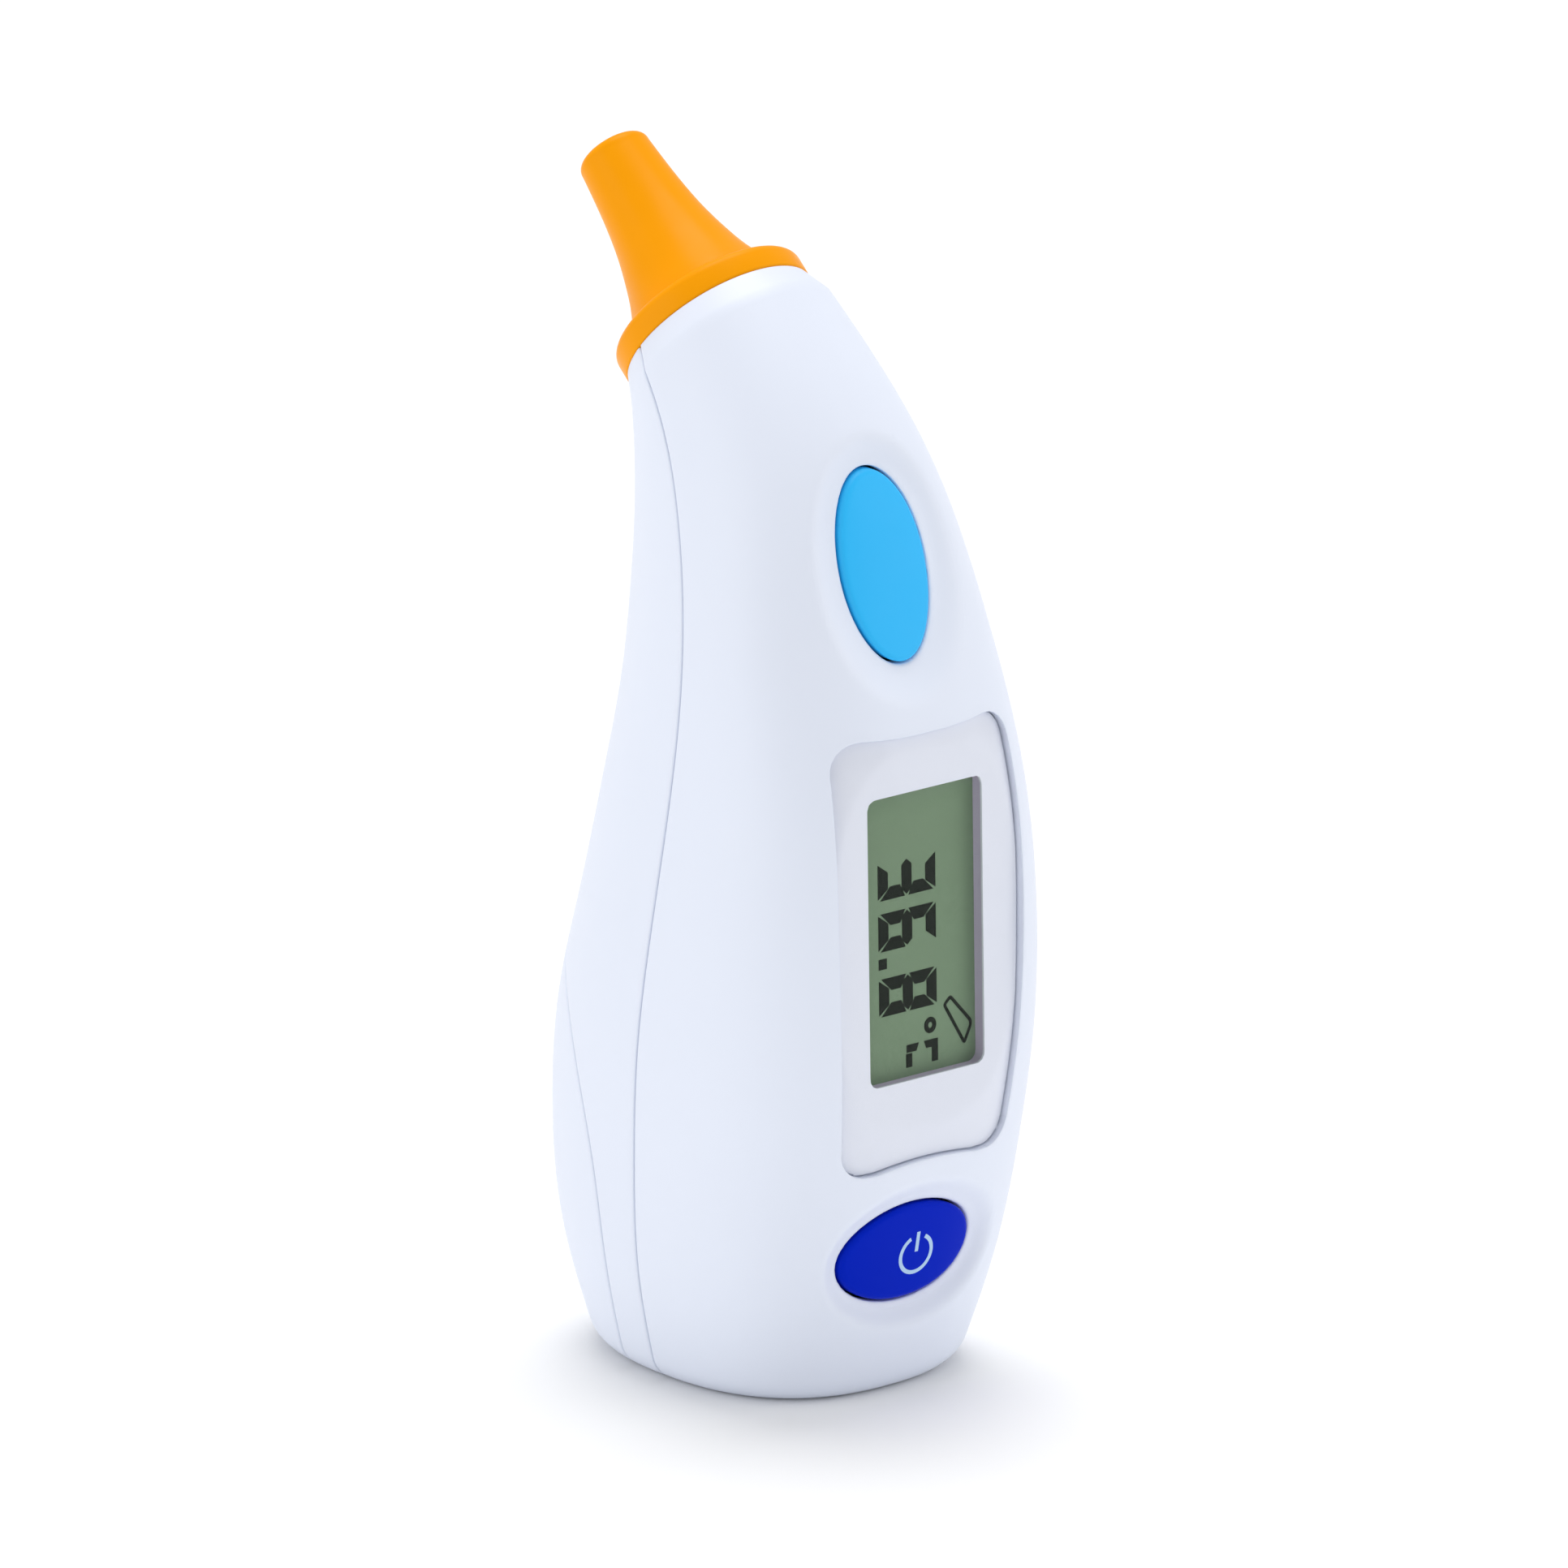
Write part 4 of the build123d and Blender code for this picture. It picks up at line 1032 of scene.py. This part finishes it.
def bay_shelf(material):
    """The wall inside the rear half that follows the battery cover's edge and frames the bay."""
    line = COVER_CURVE[(COVER_CURVE[:, 1] > 2.2) & (COVER_CURVE[:, 0] < 25.2)]
    line = smooth_line(line[:: max(1, len(line) // 12)], 74)
    run = np.gradient(line, axis=0)
    run /= np.linalg.norm(run, axis=1, keepdims=True)
    normal = np.stack([-run[:, 1], run[:, 0]], -1)
    near, far = line + normal * SHELF_NEAR, line + normal * (SHELF_NEAR + SHELF_THICK)
    shares = np.linspace(-1, 1, 61)
    front, back, faces = [], [], []
    for r in range(len(line)):
        half = inner_half(near[r][0], near[r][1], WALL - 0.5)
        xs = list(shares * half)
        for edge in (-TRAY_X, TRAY_X):
            k = int(np.argmin(np.abs(np.array(xs) - edge)))
            if half > TRAY_X + 0.3:
                xs[k] = edge
        front += [(x, *near[r]) for x in xs]
        back += [(x, *far[r]) for x in xs]
    n = len(shares)
    for r in range(len(line) - 1):
        for c in range(n - 1):
            corners = (r * n + c, r * n + c + 1, (r + 1) * n + c + 1, (r + 1) * n + c)
            middle = sum(np.array(front[i]) for i in corners) / 4
            beside = abs(middle[0]) > TRAY_X or middle[2] > TRAY_HIGH
            if not beside and TRAY_FRONT < middle[1] < TRAY_BACK:
                continue
            faces.append(corners)
    points, made = stitched(faces, front, back)
    make_object("battery_bay_shelf", points, made, "root", material, "white_shell")


PAD_INSET, PAD_CORNER, PAD_ROUND, PAD_CROWN, PAD_SLOPE = 0.35, 1.8, 1.2, 0.5, 6


def foam_pad(material):
    """Soft pad inside the cover that presses on the cells, crowned and with pulled-in edges."""
    low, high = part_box("battery_cover_pad")
    low, high = np.array(low) / MM, np.array(high) / MM
    face = low[1] + 0.02
    low, high = low + PAD_INSET, high - PAD_INSET
    line = np.array(rounded_polygon(box_corners(low[0], low[2], high[0], high[2]), PAD_CORNER, 7))
    levels = [-PAD_ROUND * share for share in (0, 0.06, 0.2, 0.45, 0.75, 1)]

    def front(x, z, edge):
        crown = PAD_CROWN * np.clip(edge / PAD_SLOPE, 0, 1) ** 0.6
        return face + PAD_CROWN - crown + edge_round(edge, PAD_ROUND)

    def back(x, z):
        level = np.clip(z, 0.0, 60.0)
        curves = [curve(level) for curve in CURVES]
        yc, back_depth, half, power = curves[2], curves[4], curves[5], curves[7]
        across = np.abs(x) / (half - WALL)
        depth = (back_depth - WALL) * (1 - across**power) ** (1 / power)
        return yc + depth - 0.1

    args = (front, back, "cover", material, "foam", ["battery_cover_pad"])
    plate("cover_foam_pad", line, levels, 0.7, *args)


# ---------------------------------------------------------------- materials
def rgb(red, green, blue):
    """Linear colour from display values of 0 to 255."""
    parts = [v / 255 for v in (red, green, blue)]
    return tuple(v / 12.92 if v <= 0.04045 else ((v + 0.055) / 1.055) ** 2.4 for v in parts) + (1.0,)


class Finish:
    """A procedural material: colour and roughness that vary over the surface, and a fine bump."""

    def __init__(self, name, **sockets):
        self.material = bpy.data.materials.new(name)
        self.material.use_nodes = True
        self.tree = self.material.node_tree
        self.shader = self.tree.nodes["Principled BSDF"]
        self.place = self.tree.nodes.new("ShaderNodeTexCoord").outputs["Object"]
        for socket, value in sockets.items():
            self.shader.inputs[socket.replace("_", " ")].default_value = value

    def noise(self, per_mm, detail=2.0, rough=0.5):
        node = self.tree.nodes.new("ShaderNodeTexNoise")
        node.inputs["Scale"].default_value = per_mm / MM
        node.inputs["Detail"].default_value = detail
        node.inputs["Roughness"].default_value = rough
        self.tree.links.new(self.place, node.inputs["Vector"])
        return node.outputs["Fac"]

    def cells(self, per_mm, square=False):
        node = self.tree.nodes.new("ShaderNodeTexVoronoi")
        node.inputs["Scale"].default_value = per_mm / MM
        if square:
            node.distance = "CHEBYCHEV"
            node.inputs["Randomness"].default_value = 0.6
        self.tree.links.new(self.place, node.inputs["Vector"])
        return node.outputs["Distance"]

    def colour(self, source, low, high, at=(0.3, 0.7)):
        node = self.tree.nodes.new("ShaderNodeValToRGB")
        for element, where, colour in zip(node.color_ramp.elements, at, (low, high)):
            element.position, element.color = where, colour
        self.tree.links.new(source, node.inputs["Fac"])
        self.tree.links.new(node.outputs["Color"], self.shader.inputs["Base Color"])

    def roughness(self, source, low, high):
        node = self.tree.nodes.new("ShaderNodeMapRange")
        limits = {"From Min": 0.3, "From Max": 0.7, "To Min": low, "To Max": high}
        for socket, value in limits.items():
            node.inputs[socket].default_value = value
        self.tree.links.new(source, node.inputs["Value"])
        self.tree.links.new(node.outputs["Result"], self.shader.inputs["Roughness"])

    def bump(self, source, strength, depth):
        node = self.tree.nodes.new("ShaderNodeBump")
        node.inputs["Strength"].default_value = strength
        node.inputs["Distance"].default_value = depth * MM
        self.tree.links.new(source, node.inputs["Height"])
        self.tree.links.new(node.outputs["Normal"], self.shader.inputs["Normal"])


def shade(colour, factor):
    return tuple(min(1.0, c * factor) for c in colour[:3]) + (1.0,)


def moulded(name, colour, rough=(0.3, 0.36), vary=0.015, grain=3.0, bump=0.03, depth=0.01, **sockets):
    """Moulded plastic: slight flow marks in the colour, gloss that varies, and a faint grain."""
    made = Finish(name, **sockets)
    made.colour(made.noise(0.05, 3.0), shade(colour, 1 - vary), shade(colour, 1 + vary))
    made.roughness(made.noise(0.35, 2.0), *rough)
    made.bump(made.noise(grain, 2.0), bump, depth)
    return made.material


def metal(name, colour, rough=(0.22, 0.4), scratch=6.0, **sockets):
    made = Finish(name, Metallic=1.0, **sockets)
    made.colour(made.noise(0.4, 4.0), shade(colour, 0.88), shade(colour, 1.08))
    made.roughness(made.noise(1.2, 4.0, 0.7), *rough)
    made.bump(made.noise(scratch, 3.0), 0.1, 0.01)
    return made.material


def board_material():
    """Solder mask with darker tracks showing through, laid out in cells."""
    made = Finish("solder_mask", Coat_Weight=0.3, Coat_Roughness=0.15)
    tracks = made.cells(0.35, square=True)
    made.colour(tracks, rgb(26, 118, 66), rgb(14, 88, 48), (0.42, 0.5))
    made.roughness(made.noise(0.8), 0.35, 0.5)
    made.bump(tracks, 0.2, 0.03)
    return made.material


def window_material():
    """Clear acrylic: sight passes straight through, and the surface keeps its gloss."""
    material = bpy.data.materials.new("clear_acrylic")
    material.use_nodes = True
    tree = material.node_tree
    tree.nodes.clear()

    def node(kind, **values):
        made = tree.nodes.new(f"ShaderNode{kind}")
        for socket, value in values.items():
            made.inputs[socket.replace("_", " ")].default_value = value
        return made

    output, mix, place = node("OutputMaterial"), node("MixShader"), node("TexCoord")
    through = node("BsdfTransparent", Color=(0.985, 0.985, 0.992, 1))
    gloss = node("BsdfGlossy", Color=(0.95, 0.96, 1.0, 1))
    noise = node("TexNoise", Scale=0.3 / MM)
    spread = node("MapRange", To_Min=0.03, To_Max=0.09)
    facing = node("LayerWeight", Blend=0.5)
    curve, share = node("Math"), node("Math")
    curve.operation, share.operation = "POWER", "MULTIPLY_ADD"
    curve.inputs[1].default_value = 5.0
    share.inputs[1].default_value = 0.6
    share.inputs[2].default_value = 0.008
    for source, target in (
        (place.outputs["Object"], noise.inputs["Vector"]),
        (noise.outputs["Fac"], spread.inputs["Value"]),
        (spread.outputs["Result"], gloss.inputs["Roughness"]),
        (facing.outputs["Facing"], curve.inputs[0]),
        (curve.outputs["Value"], share.inputs[0]),
        (share.outputs["Value"], mix.inputs["Fac"]),
        (through.outputs["BSDF"], mix.inputs[1]),
        (gloss.outputs["BSDF"], mix.inputs[2]),
        (mix.outputs["Shader"], output.inputs["Surface"]),
    ):
        tree.links.new(source, target)
    return material


def foam_material():
    made = Finish("closed_cell_foam", Specular_IOR_Level=0.2)
    pores_and_pore_shade = made.cells(2.6)
    # the colour is darkest at the pore centres, where the bump sinks the surface: painted shade in the pits
    made.colour(pores_and_pore_shade, rgb(30, 30, 33), rgb(62, 62, 66), (0.0, 0.6))
    made.roughness(made.noise(0.6), 0.85, 0.95)
    made.bump(pores_and_pore_shade, 0.6, 0.12)
    return made.material


def cell_material():
    """The plain dark sleeve of the cells, under a clear coat."""
    made = Finish("cell_sleeve", Coat_Weight=0.5, Coat_Roughness=0.12)
    made.colour(made.noise(0.25, 3.0), rgb(24, 26, 31), rgb(38, 41, 48))
    made.roughness(made.noise(0.9, 3.0), 0.25, 0.38)
    made.bump(made.noise(2.5, 3.0), 0.06, 0.02)
    return made.material


def polarizer_material():
    """Grey-green display ground with the fine mottle of its reflector."""
    made = Finish("display_ground", Specular_IOR_Level=0.25)
    made.colour(made.noise(3.2, 3.0, 0.7), rgb(110, 136, 104), rgb(122, 148, 116))
    made.roughness(made.noise(1.0), 0.45, 0.55)
    made.bump(made.noise(4.0), 0.05, 0.01)
    return made.material


SOFT_GRAIN = {"bump": 0.01, "depth": 0.003}
WHITE = moulded("white_shell_plastic", rgb(231, 237, 250), (0.42, 0.5), 0.004, 1.2, 0.01, 0.002)
ORANGE = moulded(
    "orange_probe_plastic", rgb(250, 160, 2), (0.3, 0.38), 0.02, 1.6, **SOFT_GRAIN,
    Specular_IOR_Level=0.07,
)
SCAN_BLUE = moulded(
    "scan_button_plastic", rgb(46, 190, 254), (0.36, 0.44), 0.008, 1.8, **SOFT_GRAIN,
    Specular_IOR_Level=0.22,
)
POWER_BLUE = moulded(
    "power_button_plastic", rgb(2, 36, 190), (0.28, 0.36), 0.02, 1.8, **SOFT_GRAIN,
    Specular_IOR_Level=0.03,
)
SYMBOL_BLUE = moulded("power_symbol_plastic", rgb(176, 208, 240), (0.42, 0.5), 0.02, 3.4, 0.03, 0.01)
PRINT = moulded("window_print", rgb(236, 240, 248), (0.42, 0.5), 0.008, 4.0, 0.02, 0.006)
INK = moulded("display_ink", rgb(16, 26, 14), (0.6, 0.7), 0.05, 4.0, 0.02, 0.006, Specular_IOR_Level=0.05)
INNER = moulded("holder_plastic", rgb(200, 190, 212), (0.45, 0.55), 0.02, 3.0, 0.04, 0.01)
TRAY = moulded("tray_plastic", rgb(216, 219, 226), (0.4, 0.5), 0.02, 2.0, 0.05, 0.02)
GROUND, WINDOW, FOAM, SLEEVE = polarizer_material(), window_material(), foam_material(), cell_material()
STEEL = metal("zinc_plated_steel", rgb(188, 190, 196))
NICKEL = metal("nickel_plate", rgb(205, 200, 190), (0.16, 0.3))
BY_SLOT = {
    "white_shell": WHITE,
    "clear_lens": WINDOW,
    "printed_mask": PRINT,
    "orange_plastic": ORANGE,
    "light_blue_button": SCAN_BLUE,
    "dark_blue_button": POWER_BLUE,
    "pale_blue_inlay": SYMBOL_BLUE,
    "inner_plastic": INNER,
    "polarizer_film": GROUND,
    "foam": FOAM,
    "cell_jacket": SLEEVE,
    "steel": STEEL,
    "nickel_contact": NICKEL,
    "lcd_glass": moulded("cell_glass", rgb(198, 210, 202), (0.05, 0.1), 0.02, 1.0, 0.01, 0.002),
    "lcd_green": moulded("reflector_foil", rgb(120, 140, 116), (0.4, 0.55), 0.03, 4.0, 0.04, 0.01),
    "grey_rubber": moulded("dark_rubber", rgb(66, 66, 70), (0.7, 0.8), 0.05, 4.0, 0.1, 0.02),
    "circuit_board": board_material(),
    "chip_plastic": moulded("chip_resin", rgb(38, 38, 41), (0.5, 0.62), 0.06, 6.0, 0.15, 0.02),
    "switch_plunger": moulded("plunger_plastic", rgb(196, 92, 44), (0.4, 0.5), 0.03, 3.0, 0.05, 0.01),
    "connector_plastic": moulded("natural_nylon", rgb(236, 230, 210), (0.42, 0.52), 0.02, 3.0, 0.05, 0.01),
    "ceramic_part": moulded("fired_ceramic", rgb(178, 150, 110), (0.5, 0.6), 0.06, 6.0, 0.1, 0.02),
    "brass_disc": metal("rolled_brass", rgb(214, 176, 96), (0.25, 0.38)),
    "wire_jacket": moulded("wire_insulation", rgb(176, 28, 26), (0.35, 0.45), 0.04, 2.0, 0.05, 0.02),
    "sleeve_metal": metal("turned_aluminium", rgb(200, 202, 206), (0.28, 0.4), 9.0),
    "gold_tube": metal("gold_plating", rgb(226, 184, 98), (0.1, 0.2)),
    "window_film": moulded("infrared_window", rgb(52, 54, 62), (0.12, 0.2), 0.05, 2.0, 0.02, 0.004),
}


def dress_cad_nodes():
    """Every CAD node that stays gets the material of its slot."""
    slots = {part["node"]: part["material_slot"] for part in frame["record"]["subparts"]}
    for node, piece in frame["nodes"].items():
        material = TRAY if node == "battery_tray" else BY_SLOT[slots[node]]
        if piece.material_slots:
            for held in piece.material_slots:
                held.material = material
        else:
            piece.data.materials.append(material)


# ---------------------------------------------------------------- camera, light and floor
TARGET = np.array([-0.8, -3.2, 70.35])
AZIMUTH, ELEVATION, DISTANCE, LENS, SENSOR = math.radians(-40), math.radians(17), 2700.0, 528.3, 36.0
FLOOR_WIDTH, SURROUND_COLOUR, SURROUND_STRENGTH = 12000.0, (0.99, 0.99, 1.0, 1), 0.565


def view_direction(azimuth, elevation):
    """From the target to a camera or lamp: azimuth 0 is in front of the display."""
    flat = math.cos(elevation)
    return np.array([math.sin(azimuth) * flat, -math.cos(azimuth) * flat, math.sin(elevation)])


def aim(thing, place, target):
    thing.location = Vector(place * MM)
    thing.rotation_mode = "QUATERNION"
    thing.rotation_quaternion = Vector(target - place).to_track_quat("-Z", "Y")


def make_camera():
    data = bpy.data.cameras.new("camera")
    data.lens, data.sensor_width = LENS, SENSOR
    data.clip_start, data.clip_end = 0.1, 20.0
    camera = bpy.data.objects.new("camera", data)
    bpy.context.scene.collection.objects.link(camera)
    aim(camera, TARGET + DISTANCE * view_direction(AZIMUTH, ELEVATION), TARGET)
    bpy.context.scene.camera = camera


def add_lamp(name, kind, azimuth, elevation, distance, power, **settings):
    """A soft lamp around the object. Angles are in degrees and lengths in millimetres."""
    data = bpy.data.lights.new(name, kind)
    data.energy = power
    for setting, value in settings.items():
        setattr(data, setting, value)
    lamp = bpy.data.objects.new(name, data)
    bpy.context.scene.collection.objects.link(lamp)
    direction = view_direction(math.radians(azimuth), math.radians(elevation))
    aim(lamp, TARGET + distance * direction, TARGET)


def make_floor():
    mesh = bpy.data.meshes.new("floor")
    half = FLOOR_WIDTH * MM / 2
    corners = [(-half, -half, 0), (half, -half, 0), (half, half, 0), (-half, half, 0)]
    mesh.from_pydata(corners, [], [(0, 1, 2, 3)])
    floor = bpy.data.objects.new("floor", mesh)
    bpy.context.scene.collection.objects.link(floor)
    mesh.materials.append(moulded("studio_floor", rgb(252, 252, 252), (0.8, 0.9), 0.002, 0.02, 0.0, 0.001))
    floor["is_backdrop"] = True


def make_world():
    world = bpy.data.worlds.new("studio")
    world.use_nodes = True
    bpy.context.scene.world = world
    background = world.node_tree.nodes["Background"]
    background.inputs["Color"].default_value = SURROUND_COLOUR
    background.inputs["Strength"].default_value = SURROUND_STRENGTH


def studio():
    bpy.context.scene.view_settings.view_transform = "Standard"
    make_world()
    make_floor()
    add_lamp("top", "SUN", 140, 74, 900, 1.65, angle=math.radians(40))
    add_lamp("key", "AREA", -105, 16, 1200, 2.8, shape="RECTANGLE", size=0.9, size_y=0.9)
    add_lamp("rim", "AREA", 45, 20, 1200, 2.2, shape="RECTANGLE", size=0.7, size_y=0.9)


# ---------------------------------------------------------------- everything
make_camera()
dress_cad_nodes()
build_shells(WHITE)
display_window(WINDOW)
display_print(PRINT)
button_cap("scan_button", SCAN_LINE, SCAN, SCAN_BLUE, "light_blue_button")
button_cap("power_button", POWER_LINE, POWER, POWER_BLUE, "dark_blue_button")
power_symbol(SYMBOL_BLUE)
display_readout(INK)
probe_nose(ORANGE)
probe_window(BY_SLOT["window_film"])
battery("battery_left", -1, SLEEVE, NICKEL)
battery("battery_right", 1, SLEEVE, NICKEL)
battery_contacts(NICKEL)
bay_shelf(WHITE)
foam_pad(FOAM)
studio()

visual_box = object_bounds()
boxes = {"cad": cad_box, "visual": visual_box}
{name: [list(corner) for corner in box] for name, box in boxes.items()}
